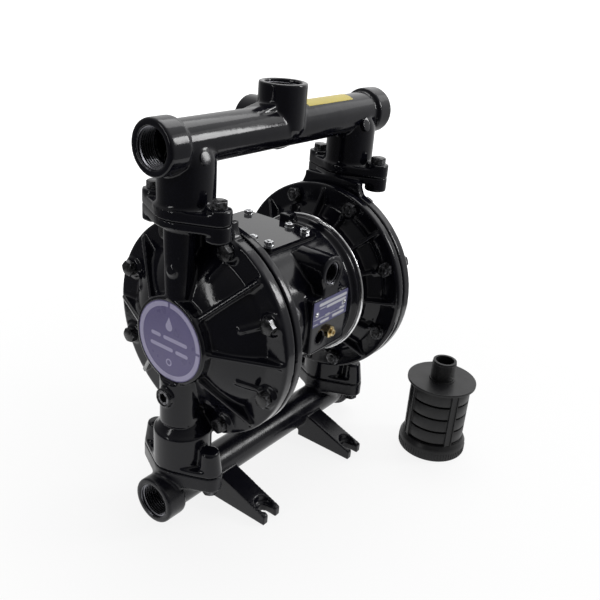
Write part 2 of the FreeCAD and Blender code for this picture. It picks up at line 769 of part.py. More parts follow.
def air_cap(name):
    """Dished cap between the centre body and the diaphragm, webbed on its inner side."""
    dish_low = f"({AIR_HUB_INNER} + air_hub_back)"
    body = turned(name + "_dish", "X_Axis", [
        (AIR_HUB_FACE, "air_opening_radius"),
        (AIR_HUB_FACE, "air_hub_radius"),
        (dish_low, "air_hub_radius"),
        (dish_low, "air_ledge_radius"),
        (f"{dish_low} + air_ledge_rise", "air_ledge_radius"),
        (f"{dish_low} + air_ledge_rise", "air_dish_radius"),
        (AIR_RIM_IN, "air_dish_radius"),
        (AIR_RIM_IN, "rim_radius - edge_round"),
        (f"{AIR_RIM_IN} + edge_round", "rim_radius", "edge_round", -1),
        (AIR_RIM_OUT, "rim_radius"),
        (AIR_RIM_OUT, "bead_inner_radius"),
        (f"{AIR_RIM_OUT} - dome_wall", "bead_inner_radius - edge_round"),
        (f"{AIR_HUB_INNER} + air_floor_rise", "air_floor_radius"),
        (AIR_HUB_INNER, "air_step_radius"),
        (AIR_HUB_INNER, "air_opening_radius"),
    ], PUMP_AXIS)
    radial_web(body, name + "_rib", [
        (f"{AIR_HUB_FACE} + air_rib_inset", "air_hub_radius - air_rib_inset"),
        (f"{AIR_RIM_IN} - edge_round", "rim_radius - rib_thickness"),
        (f"{AIR_RIM_IN} + edge_round", "rim_radius - rib_thickness"),
        (f"{AIR_RIM_IN} + edge_round", "air_dish_radius"),
        (f"{dish_low} + air_rib_inset", "air_hub_radius - air_rib_inset"),
    ], "air_rib_thickness")
    radial_web(body, name + "_short_rib", [
        (f"{AIR_HUB_FACE} + air_rib_inset", "air_hub_radius - air_rib_inset"),
        (f"{AIR_HUB_FACE} + short_rib_rise", "rim_bolt_circle - lug_radius"),
        (f"{AIR_RIM_IN} - air_rib_inset", "rim_bolt_circle - lug_radius"),
        (f"{dish_low} + air_rib_inset", "air_hub_radius - air_rib_inset"),
    ], "air_rib_thickness", value("rim_bolt_spacing") / 2)
    rim_holes = [
        rod(f"{name}_rim_hole_{number}", "rim_bolt_radius + hole_clearance", "air_rim_thickness + nut_height",
            (f"{AIR_RIM_IN} - nut_height", y, z), "+X")
        for number, y, z in rim_bolt_places()]
    screw_holes = [
        rod(f"{name}_screw_hole_{number}", "air_screw_radius + hole_clearance / 2", "air_hub_thickness",
            (AIR_HUB_FACE, y, z), "+X")
        for number, y, z in air_screw_places()]
    nut_seats = [
        rod(f"{name}_nut_seat_{number}", "hex_flats / sqrt(3) + spanner_clearance", "air_rim_thickness",
            (AIR_RIM_IN, y, z), "-X")
        for number, y, z in rim_bolt_places()]
    return cut(name, body, rim_holes + screw_holes + nut_seats)


keep_pair("air_cap", air_cap)


def air_cap_screws(name):
    """Six socket screws that hold the air cap to the centre body."""
    screws = []
    for number, y, z in air_screw_places():
        shank = rod(
            f"{name}_shank_{number}", "air_screw_radius", "air_screw_length",
            (f"{AIR_HUB_INNER} - air_screw_length", y, z), "+X")
        head = rod(
            f"{name}_head_{number}", "air_screw_head_radius", "air_screw_head", (AIR_HUB_INNER, y, z), "+X")
        screws.append(fuse(f"{name}_{number}", [shank, head]))
    return group(name, screws)


keep_pair("air_cap_screws", air_cap_screws)


def centre_gasket(name):
    """Pale ring between the centre body and an air cap."""
    ring = turned(name + "_ring", "X_Axis", [
        ("body_half_length", "air_opening_radius"),
        ("body_half_length", "flange_body_radius + gasket_lip"),
        (AIR_HUB_FACE, "flange_body_radius + gasket_lip"),
        (AIR_HUB_FACE, "air_opening_radius"),
    ], PUMP_AXIS)
    holes = [
        rod(f"{name}_hole_{number}", "air_screw_radius + hole_clearance / 2", "gasket_thickness",
            ("body_half_length", y, z), "+X")
        for number, y, z in air_screw_places()]
    return cut(name, ring, holes)


keep_pair("centre_gasket", centre_gasket)


def rim_bolts(name):
    """Hexagon bolts round the rims."""
    nut_end = f"({AIR_RIM_IN} - nut_height - thread_end)"
    bolts = []
    for number, y, z in rim_bolt_places():
        shank = rod(
            f"{name}_shank_{number}", "rim_bolt_radius", f"{LUG_FACE} - {nut_end}", (nut_end, y, z), "+X")
        head = hexagon(f"{name}_head_{number}", "hex_flats", "hex_head_height", (LUG_FACE, y, z), "+X")
        bolts.append(fuse(f"{name}_{number}", [shank, head]))
    return group(name, bolts)


keep_pair("rim_bolts", rim_bolts)


def rim_nuts(name):
    nuts = []
    for number, y, z in rim_bolt_places():
        place = (f"{AIR_RIM_IN} - nut_height", y, z)
        outside = hexagon(f"{name}_hexagon_{number}", "hex_flats", "nut_height", place, "+X")
        hole = rod(
            f"{name}_thread_{number}", "rim_bolt_radius + thread_clearance", "nut_height", place, "+X")
        nuts.append(cut(f"{name}_{number}", outside, [hole]))
    return group(name, nuts)


keep_pair("rim_nuts", rim_nuts)


# Diaphragms, their washers and the shaft

def diaphragm(name):
    """Rubber disc: flat edge between the rims, one rolled fold, flat middle between the washers."""
    half = "diaphragm_thickness / 2"
    roll_in = "(washer_radius + roll_margin)"
    roll_out = "(bead_inner_radius - roll_margin)"
    roll = f"(({roll_out} - {roll_in}) ^ 2 / (8 * roll_height) + roll_height / 2)"
    inside_roll = f"({roll} + diaphragm_thickness)"
    disc = turned(name + "_disc", "X_Axis", [
        (f"bead_plane + {half}", "stack_screw_radius + hole_clearance"),
        (f"bead_plane + {half}", roll_in),
        (f"bead_plane + {half}", roll_out, inside_roll, 1),
        (FLUID_RIM_IN, "bead_inner_radius - bead_margin"),
        (FLUID_RIM_IN, "diaphragm_radius"),
        (AIR_RIM_OUT, "diaphragm_radius"),
        (AIR_RIM_OUT, "bead_inner_radius - bead_margin"),
        (f"bead_plane - {half}", roll_out),
        (f"bead_plane - {half}", roll_in, inside_roll, -1),
        (f"bead_plane - {half}", "stack_screw_radius + hole_clearance"),
    ], PUMP_AXIS)
    holes = [
        rod(f"{name}_hole_{number}", "rim_bolt_radius + hole_clearance", "rim_gap", (AIR_RIM_OUT, y, z), "+X")
        for number, y, z in rim_bolt_places()]
    return cut(name, disc, holes)


keep_pair("diaphragm", diaphragm)


def outer_washer(name):
    return turned(name, "X_Axis", [
        (STACK_OUT, "stack_screw_radius + thread_clearance"),
        (STACK_OUT, "washer_radius - edge_round"),
        (f"{STACK_OUT} + edge_round", "washer_radius", "edge_round", 1),
        (f"{STACK_OUT} + washer_edge", "washer_radius"),
        (WASHER_FACE, "washer_face_radius"),
        (WASHER_FACE, "stack_screw_radius + thread_clearance"),
    ], PUMP_AXIS)


def inner_washer(name):
    return turned(name, "X_Axis", [
        (STACK_IN, "stack_screw_radius + thread_clearance"),
        (STACK_IN, "washer_radius - edge_round"),
        (f"{STACK_IN} - edge_round", "washer_radius", "edge_round", -1),
        (f"{STACK_IN} - washer_edge", "washer_radius"),
        (SHAFT_END, "washer_radius - edge_round"),
        (SHAFT_END, "stack_screw_radius + thread_clearance"),
    ], PUMP_AXIS)


keep_pair("outer_washer", outer_washer)
keep_pair("inner_washer", inner_washer)

shaft_hole_end = f"({SHAFT_END} - stack_screw_reach - thread_end)"
keep("diaphragm_shaft", turned("diaphragm_shaft", "X_Axis", [
    (f"-{shaft_hole_end}", "0"),
    (f"-{shaft_hole_end}", "stack_screw_radius + thread_clearance"),
    (f"-{SHAFT_END}", "stack_screw_radius + thread_clearance"),
    (f"-{SHAFT_END}", "shaft_radius"),
    (SHAFT_END, "shaft_radius"),
    (SHAFT_END, "stack_screw_radius + thread_clearance"),
    (shaft_hole_end, "stack_screw_radius + thread_clearance"),
    (shaft_hole_end, "0"),
], PUMP_AXIS))


def shaft_screw(name):
    """Socket screw that clamps the washers and the diaphragm to the shaft end."""
    shank = rod(
        name + "_shank", "stack_screw_radius", f"{WASHER_FACE} - {SHAFT_END} + stack_screw_reach",
        (f"{SHAFT_END} - stack_screw_reach", "0", "axis_height"), "+X")
    head = rod(
        name + "_head", "stack_head_radius", "stack_head_height", (WASHER_FACE, "0", "axis_height"), "+X")
    socket = hexagon(
        name + "_socket", "stack_head_radius", "stack_head_height / 2",
        (f"{WASHER_FACE} + stack_head_height / 2", "0", "axis_height"), "+X")
    return cut(name, fuse(name + "_solid", [shank, head]), [socket])


keep_pair("shaft_screw", shaft_screw)


def collar(name, radius, bore, length, low, y, z):
    """A plain ring along X, such as a bushing or a seal."""
    outside = rod(name + "_outside", radius, length, (low, y, z), "+X")
    inside = rod(name + "_inside", bore, length, (low, y, z), "+X")
    return cut(name, outside, [inside])


def both_sides(name, right):
    """The piece and its mirror image, side by side in one node."""
    return group(name, [right, mirror(name + "_left", right)])


BUSHING_IN = "(body_half_length - bushing_length)"
keep("shaft_bushings", both_sides("shaft_bushings", collar(
    "shaft_bushing", "bushing_radius - thread_clearance", "shaft_radius + running_clearance",
    "bushing_length", BUSHING_IN, "0", "axis_height")))
keep("shaft_seals", both_sides("shaft_seals", collar(
    "shaft_seal", "bushing_radius - thread_clearance", "shaft_radius + running_clearance",
    "seal_length", f"{BUSHING_IN} - seal_length", "0", "axis_height")))

PILOT_HALF = f"({SHAFT_END} - stroke * (1 - pilot_ratio) - pilot_clearance)"
keep("pilot_rod", rod(
    "pilot_rod", "pilot_radius", f"2 * {PILOT_HALF}",
    (f"-{PILOT_HALF}", "-pilot_offset", "axis_height"), "+X"))
keep("pilot_bushings", both_sides("pilot_bushings", collar(
    "pilot_bushing", "pilot_bushing_radius - thread_clearance", "pilot_radius + running_clearance",
    "pilot_bushing_length", "body_half_length - pilot_bushing_length", "-pilot_offset", "axis_height")))


# Centre body with the air valve

def stud_places():
    rows = (("front", "-stud_front"), ("middle", "stud_middle"), ("rear", "stud_rear"))
    for side, x in (("left", "-stud_offset"), ("right", "stud_offset")):
        for row, y in rows:
            yield f"{side}_{row}", x, y


def rounded_block(name, half_width, front, rear, height, low, corner):
    """An upright block with rounded vertical corners."""
    half_width = f"({half_width})"
    rear = f"({rear})"
    outline = [
        (half_width, f"-({front}) + {corner}"),
        (half_width, f"{rear} - {corner}"),
        (f"{half_width} - {corner}", rear, corner, 1),
        (f"-{half_width} + {corner}", rear),
        (f"-{half_width}", f"{rear} - {corner}", corner, 1),
        (f"-{half_width}", f"-({front}) + {corner}"),
        (f"-{half_width} + {corner}", f"-({front})", corner, 1),
        (f"{half_width} - {corner}", f"-({front})"),
    ]
    outline[0] = (*outline[0], corner, 1)
    return padded(name, "XY_Plane", outline, height, ("0", "0", low))


def front_pad(name):
    """Flat pad on the front of the barrel, for the plate and the fitting."""
    outline = [
        ("pad_half_width", "pad_low + pad_corner", "pad_corner", 1),
        ("pad_half_width", "pad_high - pad_corner"),
        ("pad_half_width - pad_corner", "pad_high", "pad_corner", 1),
        ("-pad_half_width + pad_corner", "pad_high"),
        ("-pad_half_width", "pad_high - pad_corner", "pad_corner", 1),
        ("-pad_half_width", "pad_low + pad_corner"),
        ("-pad_half_width + pad_corner", "pad_low", "pad_corner", 1),
        ("pad_half_width - pad_corner", "pad_low"),
    ]
    return padded(name, "XZ_Plane", outline, "pad_face / 2", ("0", "-pad_face / 2", "0"))


def centre_body():
    barrel = turned("body_barrel", "X_Axis", [
        ("-body_half_length", "0"),
        ("-body_half_length", "flange_body_radius"),
        ("-body_half_length + flange_body_thickness", "flange_body_radius"),
        ("-body_half_length + flange_body_thickness + flange_body_back", "barrel_radius"),
        ("body_half_length - flange_body_thickness - flange_body_back", "barrel_radius"),
        ("body_half_length - flange_body_thickness", "flange_body_radius"),
        ("body_half_length", "flange_body_radius"),
        ("body_half_length", "0"),
    ], PUMP_AXIS)
    inlet_boss = rod(
        "inlet_boss", "inlet_boss_radius", "pad_face - inlet_boss_rear",
        ("0", "-inlet_boss_rear", "inlet_height"), "-Y")
    boss_web = block(
        "boss_web", "2 * inlet_web_half_width", "pad_face - inlet_boss_rear",
        "inlet_height - pad_high + inlet_web_overlap",
        ("-inlet_web_half_width", "-pad_face", "pad_high - inlet_web_overlap"))
    valve_block = rounded_block(
        "valve_block", "block_half_width", "block_front", "block_rear", "block_top - axis_height",
        "axis_height", "cover_corner")
    exhaust_boss = rod(
        "exhaust_boss", "exhaust_boss_radius", "exhaust_boss_face - valve_pocket_rear",
        ("0", "valve_pocket_rear", "exhaust_height"), "+Y")
    port_blocks = [
        block(
            f"port_block_{side}", "port_block_length", "port_block_rear - port_block_front",
            "port_block_rise", (x, "port_block_front", "axis_height"))
        for side, x in (
            ("right", "block_half_width + cover_margin"),
            ("left", "-block_half_width - cover_margin - port_block_length"))]
    metal = fuse("body_metal", [
        barrel, front_pad("front_pad"), inlet_boss, boss_web, valve_block, exhaust_boss, *port_blocks])
    length = "2 * body_half_length"
    end = "-body_half_length"
    seat_depth = "(bushing_length + seal_length)"
    tools = [
        rounded_block(
            "cover_recess", "block_half_width + cover_margin", "block_front + cover_margin",
            "block_rear + cover_margin", "flange_body_radius", "block_top", "cover_corner"),
        rod("shaft_bore", "shaft_radius + overrun", length, (end, "0", "axis_height"), "+X"),
        rod("shaft_seat_left", "bushing_radius", seat_depth, (end, "0", "axis_height"), "+X"),
        rod("shaft_seat_right", "bushing_radius", seat_depth, ("body_half_length", "0", "axis_height"), "-X"),
        rod("pilot_bore", "pilot_radius + hole_clearance", length, (end, "-pilot_offset", "axis_height"), "+X"),
        rod("pilot_seat_left", "pilot_bushing_radius", "pilot_bushing_length",
            (end, "-pilot_offset", "axis_height"), "+X"),
        rod("pilot_seat_right", "pilot_bushing_radius", "pilot_bushing_length",
            ("body_half_length", "-pilot_offset", "axis_height"), "-X"),
        rod("inlet_thread", "inlet_thread_radius", "inlet_thread_length",
            ("0", "-pad_face", "inlet_height"), "+Y"),
        rod("inlet_passage", "passage_radius", "pad_face - valve_pocket_front + overrun",
            ("0", "-pad_face", "inlet_height"), "+Y"),
        rod("exhaust_thread", "exhaust_thread_radius", "exhaust_thread_length",
            ("0", "exhaust_boss_face", "exhaust_height"), "-Y"),
        rod("exhaust_passage", "exhaust_passage_radius", "exhaust_boss_face - valve_pocket_rear + overrun",
            ("0", "exhaust_boss_face", "exhaust_height"), "-Y"),
        block("valve_pocket", "2 * valve_pocket_half_width", "valve_pocket_rear + valve_pocket_front",
              "block_top - valve_pocket_floor",
              ("-valve_pocket_half_width", "-valve_pocket_front", "valve_pocket_floor")),
        rod("transfer_passage", "transfer_radius", length,
            (end, "transfer_offset", "axis_height + transfer_rise"), "+X"),
        rod("fitting_hole", "fitting_shank_radius + thread_clearance", "fitting_depth",
            ("0", "-pad_face", "fitting_height"), "+Y"),
        rod("pad_hole", "pad_hole_radius", "pad_hole_depth",
            ("-pad_hole_left", "-pad_face", "axis_height - pad_hole_drop"), "+Y"),
        rod("pad_tap", "pad_tap_radius", "pad_hole_depth",
            ("pad_tap_right", "-pad_face", "axis_height + pad_tap_rise"), "+Y"),
    ]
    for place, x, y in stud_places():
        tools.append(rod(
            f"stud_hole_{place}", "stud_radius + thread_clearance", "stud_depth", (x, y, "block_top"), "-Z"))
    for side, face, aim in (("left", end, "+X"), ("right", "body_half_length", "-X")):
        for number, y, z in air_screw_places():
            tools.append(rod(
                f"screw_hole_{side}_{number}", "air_screw_radius + thread_clearance",
                "air_screw_length - air_hub_thickness - gasket_thickness + overrun", (face, y, z), aim))
    for side, x in (("left", "-rivet_offset"), ("right", "rivet_offset")):
        tools.append(rod(
            f"rivet_hole_{side}", "rivet_shank_radius + thread_clearance", "pad_corner",
            (x, "-pad_face", "(plate_low + plate_high) / 2"), "+Y"))
    return cut("centre_body", metal, tools)


keep("centre_body", centre_body())


def valve_body():
    """Air valve block that drops into the pocket under the cover."""
    shell = block(
        "valve_shell", f"2 * {VALVE_HALF}",
        "valve_pocket_rear + valve_pocket_front - 2 * valve_pocket_clearance",
        "block_top - valve_pocket_floor - 2 * valve_pocket_clearance",
        (f"-{VALVE_HALF}", "-valve_pocket_front + valve_pocket_clearance",
         "valve_pocket_floor + valve_pocket_clearance"))
    bore = rod(
        "valve_bore", "sleeve_radius + thread_clearance", f"2 * {VALVE_HALF}",
        (f"-{VALVE_HALF}", VALVE_MIDDLE, SPOOL_HEIGHT), "+X")
    feed = rod(
        "valve_feed", "passage_radius", f"valve_pocket_front + {VALVE_MIDDLE}",
        ("0", "-valve_pocket_front", "inlet_height"), "+Y")
    vent = rod(
        "valve_vent", "passage_radius", f"valve_pocket_rear - {VALVE_MIDDLE}",
        ("0", "valve_pocket_rear", "exhaust_height"), "-Y")
    return cut("valve_body", shell, [bore, feed, vent])


keep("valve_body", valve_body())


def valve_sleeve():
    length = f"(2 * ({VALVE_HALF} - plug_thickness))"
    low = f"-({VALVE_HALF} - plug_thickness)"
    outside = rod("sleeve_outside", "sleeve_radius", length, (low, VALVE_MIDDLE, SPOOL_HEIGHT), "+X")
    inside = rod(
        "sleeve_inside", "spool_bore_radius + running_clearance", length,
        (low, VALVE_MIDDLE, SPOOL_HEIGHT), "+X")
    port = rod(
        "sleeve_port", "sleeve_port_radius", "2 * sleeve_radius",
        ("0", f"{VALVE_MIDDLE} - sleeve_radius", SPOOL_HEIGHT), "+Y")
    return cut("valve_sleeve", outside, [inside, port])


keep("valve_sleeve", valve_sleeve())

keep("valve_plugs", both_sides("valve_plugs", rod(
    "valve_plug", "sleeve_radius", "plug_thickness",
    (f"{VALVE_HALF} - plug_thickness", VALVE_MIDDLE, SPOOL_HEIGHT), "+X")))

keep("main_spool", turned("main_spool", "X_Axis", [
    (f"-{SPOOL_HALF}", "0"),
    (f"-{SPOOL_HALF}", "spool_bore_radius"),
    (f"-{SPOOL_HALF} + spool_end_land", "spool_bore_radius"),
    (f"-{SPOOL_HALF} + spool_end_land", "spool_waist_radius"),
    ("-spool_middle_land / 2", "spool_waist_radius"),
    ("-spool_middle_land / 2", "spool_bore_radius"),
    ("spool_middle_land / 2", "spool_bore_radius"),
    ("spool_middle_land / 2", "spool_waist_radius"),
    (f"{SPOOL_HALF} - spool_end_land", "spool_waist_radius"),
    (f"{SPOOL_HALF} - spool_end_land", "spool_bore_radius"),
    (SPOOL_HALF, "spool_bore_radius"),
    (SPOOL_HALF, "0"),
], ("0", VALVE_MIDDLE, SPOOL_HEIGHT)))


def cover_sheet(name, thickness, low):
    """A plate with the outline of the valve block and six stud holes."""
    sheet_metal = rounded_block(
        name + "_sheet", "block_half_width", "block_front", "block_rear", thickness, low, "cover_corner")
    holes = [
        rod(f"{name}_hole_{place}", "stud_radius + hole_clearance / 2", thickness, (x, y, low))
        for place, x, y in stud_places()]
    return cut(name, sheet_metal, holes)


keep("valve_cover_gasket", cover_sheet("valve_cover_gasket", "cover_gasket_thickness", "block_top"))
keep("valve_cover", cover_sheet("valve_cover", "cover_thickness", COVER_LOW))


def cover_studs():
    studs = []
    for place, x, y in stud_places():
        low = "(block_top - stud_depth + hole_clearance)"
        studs.append(rod(
            f"stud_{place}", "stud_radius", f"{COVER_TOP} + cover_nut_height + stud_end - {low}", (x, y, low)))
    return group("valve_cover_studs", studs)


def cover_nuts():
    nuts = []
    for place, x, y in stud_places():
        outside = hexagon(
            f"cover_nut_hexagon_{place}", "cover_nut_flats", "cover_nut_height", (x, y, COVER_TOP))
        hole = rod(
            f"cover_nut_thread_{place}", "stud_radius + thread_clearance", "cover_nut_height",
            (x, y, COVER_TOP))
        nuts.append(cut(f"cover_nut_{place}", outside, [hole]))
    return group("valve_cover_nuts", nuts)


keep("valve_cover_studs", cover_studs())
keep("valve_cover_nuts", cover_nuts())


def rating_plate():
    sheet_metal = block(
        "plate_sheet", "2 * plate_half_width", "plate_thickness", "plate_high - plate_low",
        ("-plate_half_width", "-pad_face - plate_thickness", "plate_low"))
    holes = [
        rod(f"plate_hole_{side}", "rivet_shank_radius + thread_clearance", "plate_thickness",
            (x, "-pad_face", "(plate_low + plate_high) / 2"), "-Y")
        for side, x in (("left", "-rivet_offset"), ("right", "rivet_offset"))]
    return cut("rating_plate", sheet_metal, holes)


def plate_rivets():
    """Two round headed drive rivets."""
    rivets = []
    for side, x in (("left", "-rivet_offset"), ("right", "rivet_offset")):
        height = "(plate_low + plate_high) / 2"
        shank = rod(
            f"rivet_shank_{side}", "rivet_shank_radius", "rivet_length",
            (x, "-pad_face - plate_thickness", height), "+Y")
        head = cone(
            f"rivet_head_{side}", "rivet_radius", "rivet_crown_radius", "rivet_height",
            (x, "-pad_face - plate_thickness", height), "-Y")
        rivets.append(fuse(f"rivet_{side}", [shank, head]))
    return group("plate_rivets", rivets)


keep("rating_plate", rating_plate())
keep("plate_rivets", plate_rivets())


def brass_fitting():
    """Hexagonal brass fitting with a drilled nose."""
    shank = rod(
        "fitting_shank", "fitting_shank_radius", "fitting_shank_length",
        ("0", "-pad_face", "fitting_height"), "+Y")
    head = hexagon(
        "fitting_hexagon", "fitting_flats", "fitting_head", ("0", "-pad_face", "fitting_height"), "-Y")
    nose = rod(
        "fitting_nose", "fitting_shank_radius", "fitting_nose",
        ("0", "-pad_face - fitting_head", "fitting_height"), "-Y")
    drilling = rod(
        "fitting_drilling", "fitting_drilling", "fitting_head",
        ("0", "-pad_face - fitting_head - fitting_nose", "fitting_height"), "+Y")
    return cut("brass_fitting", fuse("fitting_solid", [shank, head, nose]), [drilling])


keep("brass_fitting", brass_fitting())


# Valve seats, balls and seal rings

VALVES = {
    "lower_right": ("neck_offset", "lower_joint_height"),
    "lower_left": ("-neck_offset", "lower_joint_height"),
    "upper_right": ("neck_offset", "upper_joint_height"),
    "upper_left": ("-neck_offset", "upper_joint_height"),
}


def valve_seat(name, x, height):
    """Seat ring with a chamfered mouth and a groove for its seal under it."""
    groove = "(ring_section + ring_groove_margin)"
    depth = "(2 * (ring_section + ring_clearance))"
    return turned(name, "Z_Axis", [
        ("seat_bore_radius", "0"),
        (f"ring_radius - {groove}", "0"),
        (f"ring_radius - {groove}", depth),
        (f"ring_radius + {groove}", depth),
        (f"ring_radius + {groove}", "0"),
        ("seat_radius", "0"),
        ("seat_radius", "seat_height - seat_clearance"),
        ("seat_edge_radius", "seat_height - seat_clearance"),
        ("seat_bore_radius", "seat_height - seat_clearance - seat_chamfer"),
    ], (x, "0", height))


def seat_rings():
    rings = []
    for place, (x, height) in VALVES.items():
        rings.append(primitive(
            "Torus", f"seat_ring_{place}", {"Radius1": "ring_radius", "Radius2": "ring_section"},
            (x, "0", f"{height} + ring_section + ring_clearance")))
    return group("seat_rings", rings)


for place, (x, height) in VALVES.items():
    keep(f"{place}_seat", valve_seat(f"{place}_seat", x, height))
    keep(f"{place}_ball", primitive(
        "Sphere", f"{place}_ball", {"Radius": "ball_radius"}, (x, "0", f"{height} + {SEAT_REST}")))
keep("seat_rings", seat_rings())


# Manifolds

def port_boss(name, radius, x_face, height, aim):
    """Round boss at the end of a manifold tube, its outer edge rounded."""
    boss = turned(name, "Z_Axis", [
        ("0", "0"),
        (f"{radius} - edge_round", "0"),
        (radius, "edge_round", "edge_round", 1),
        (radius, "port_boss_length - edge_round"),
        (f"{radius} - edge_round", "port_boss_length", "edge_round", 1),
        ("0", "port_boss_length"),
    ])
    return settle(boss, (x_face, "0", height), aim)


def centre_boss(name, aim):
    """Round boss in the middle of the outlet manifold, chamfered where it leaves the tube."""
    boss = turned(name, "Z_Axis", [
        ("0", "-boss_chamfer"),
        ("top_tube_radius", "-boss_chamfer"),
        ("centre_boss_radius", "0"),
        ("centre_boss_radius", "centre_boss_reach - edge_round / 2"),
        ("centre_boss_radius - edge_round / 2", "centre_boss_reach", "edge_round / 2", 1),
        ("0", "centre_boss_reach"),
    ])
    return settle(boss, ("0", "0", "top_axis_height"), aim)


def in_pairs(make):
    """Shapes for the right end of a manifold and the same for its left end."""
    shapes = []
    for side, sign in (("right", ""), ("left", "-")):
        shapes.extend(make(side, sign))
    return shapes


def top_ends(side, sign):
    x = f"{sign}neck_offset"
    neck = turned(f"top_neck_{side}", "Z_Axis", [
        ("0", "upper_joint_height"),
        ("top_neck_radius", "upper_joint_height"),
        ("top_neck_radius", "top_axis_height - top_neck_drop"),
        ("0", "top_axis_height - top_neck_drop + top_neck_radius", "top_neck_radius", 1),
    ], (x, "0", "0"))
    plate = padded(
        f"top_flange_{side}", "XY_Plane", flange_outline(), "top_flange_thickness",
        (x, "0", "upper_joint_height"))
    lobes = [
        rod(f"top_lobe_{side}_{place}", "lobe_radius", "top_lobe_height", (x, y, "upper_joint_height"))
        for place, y in (("front", "-lobe_offset"), ("rear", "lobe_offset"))]
    boss = port_boss(
        f"top_boss_{side}", "top_boss_radius", f"{sign}port_face", "top_axis_height",
        "-X" if side == "right" else "+X")
    return [neck, plate, boss, *lobes]


def top_end_tools(side, sign):
    x = f"{sign}neck_offset"
    room = rod(
        f"top_room_{side}", "chamber_radius", f"{STOP_REACH} + top_stop_height",
        (x, "0", "upper_joint_height"))
    room_top = cone(
        f"top_room_end_{side}", "chamber_radius", "top_bore_radius", "taper_height",
        (x, "0", f"upper_joint_height + {STOP_REACH} + top_stop_height"))
    rise = rod(
        f"top_rise_{side}", "top_bore_radius", "top_axis_height - upper_joint_height",
        (x, "0", "upper_joint_height"))
    pocket = rod(
        f"top_pocket_{side}", "seat_radius + seat_clearance", "seat_height", (x, "0", "upper_joint_height"))
    thread = rod(
        f"top_thread_{side}", "port_thread_radius", "port_thread_length",
        (f"{sign}port_face", "0", "top_axis_height"), "-X" if side == "right" else "+X")
    holes = [
        rod(f"top_hole_{side}_{place}", "flange_bolt_radius + hole_clearance", "top_lobe_height",
            (x, y, "upper_joint_height"))
        for place, y in (("front", "-lobe_offset"), ("rear", "lobe_offset"))]
    return [room, room_top, rise, pocket, thread, *holes]


def top_stops(side, sign):
    """Bar above each outlet ball that ends its lift."""
    return [block(
        f"top_stop_{side}", "stop_thickness", "2 * chamber_radius", "top_stop_height",
        (f"{sign}neck_offset - stop_thickness / 2", "-chamber_radius", f"upper_joint_height + {STOP_REACH}"))]


def boss_gusset():
    """Low gusset on the tube at the left of the upward boss."""
    return padded("boss_gusset", "XZ_Plane", [
        ("-gusset_reach", "0"),
        ("0", "0"),
        ("0", "gusset_top"),
        ("-centre_boss_radius", "gusset_top"),
        ("-gusset_reach", "top_tube_radius - edge_round"),
    ], "2 * gusset_half_width", ("0", "0", "top_axis_height"), True)


def top_manifold():
    tube = rod(
        "top_tube", "top_tube_radius", "2 * (port_face - port_boss_length / 2)",
        ("-(port_face - port_boss_length / 2)", "0", "top_axis_height"), "+X")
    metal = fuse("top_metal", [
        tube, centre_boss("up_boss", "+Z"), centre_boss("rear_boss", "+Y"), boss_gusset(),
        *in_pairs(top_ends)])
    bore_half = "(port_face - port_thread_length / 2)"
    bore = rod(
        "top_bore", "top_bore_radius", f"2 * {bore_half}", (f"-{bore_half}", "0", "top_axis_height"), "+X")
    tools = [bore]
    for name, aim, place in (
            ("up", "-Z", ("0", "0", "top_axis_height + centre_boss_reach")),
            ("rear", "-Y", ("0", "centre_boss_reach", "top_axis_height"))):
        tools.append(rod(f"{name}_thread", "port_thread_radius", "port_thread_length", place, aim))
        tools.append(rod(f"{name}_passage", "top_bore_radius", "centre_boss_reach", place, aim))
    hollow = cut("top_hollow", metal, tools + in_pairs(top_end_tools))
    return fuse("top_manifold", [hollow, *in_pairs(top_stops)])


keep("top_manifold", top_manifold())


def foot_pair(name, x):
    """A front and a rear foot in one saddle under the inlet manifold."""
    web = padded(name + "_web", "YZ_Plane", [
        ("-foot_reach", "0"),
        ("-foot_arch", "0"),
        ("-foot_arch", "foot_arch"),
        ("foot_arch", "foot_arch"),
        ("foot_arch", "0"),
        ("foot_reach", "0"),
        ("foot_reach", "foot_tip_height - edge_round"),
        ("foot_reach - edge_round", "foot_tip_height", "edge_round", 1),
        ("foot_shoulder", "foot_top"),
        ("-foot_shoulder", "foot_top"),
        ("-foot_reach + edge_round", "foot_tip_height"),
        ("-foot_reach", "foot_tip_height - edge_round", "edge_round", 1),
    ], "foot_width", (x, "0", "0"), True)
    tools = []
    for place, sign, aim in (("front", "-", "-Y"), ("rear", "", "+Y")):
        centre = f"{sign}foot_slot_centre"
        tools.append(rod(f"{name}_slot_end_{place}", "foot_slot_radius", "foot_top", (x, centre, "0")))
        far = "-foot_reach" if sign else "foot_slot_centre"
        tools.append(block(
            f"{name}_slot_{place}", "2 * foot_slot_radius", "foot_reach - foot_slot_centre", "foot_top",
            (f"{x} - foot_slot_radius", far, "0")))
        tools.append(rod(
            f"{name}_spot_{place}", "spot_face_radius", "foot_top", (x, centre, "spot_face_height")))
    return cut(name, web, tools)


def bottom_ends(side, sign):
    x = f"{sign}neck_offset"
    neck = cone(
        f"bottom_neck_{side}", "bottom_tube_radius", "bottom_neck_radius",
        "lower_joint_height - bottom_flange_thickness / 2 - bottom_axis_height", (x, "0", "bottom_axis_height"))
    plate = padded(
        f"bottom_flange_{side}", "XY_Plane", flange_outline(), "bottom_flange_thickness",
        (x, "0", "lower_joint_height - bottom_flange_thickness"))
    boss = port_boss(
        f"bottom_boss_{side}", "bottom_boss_radius", f"{sign}port_face", "bottom_axis_height",
        "-X" if side == "right" else "+X")
    return [neck, plate, boss]


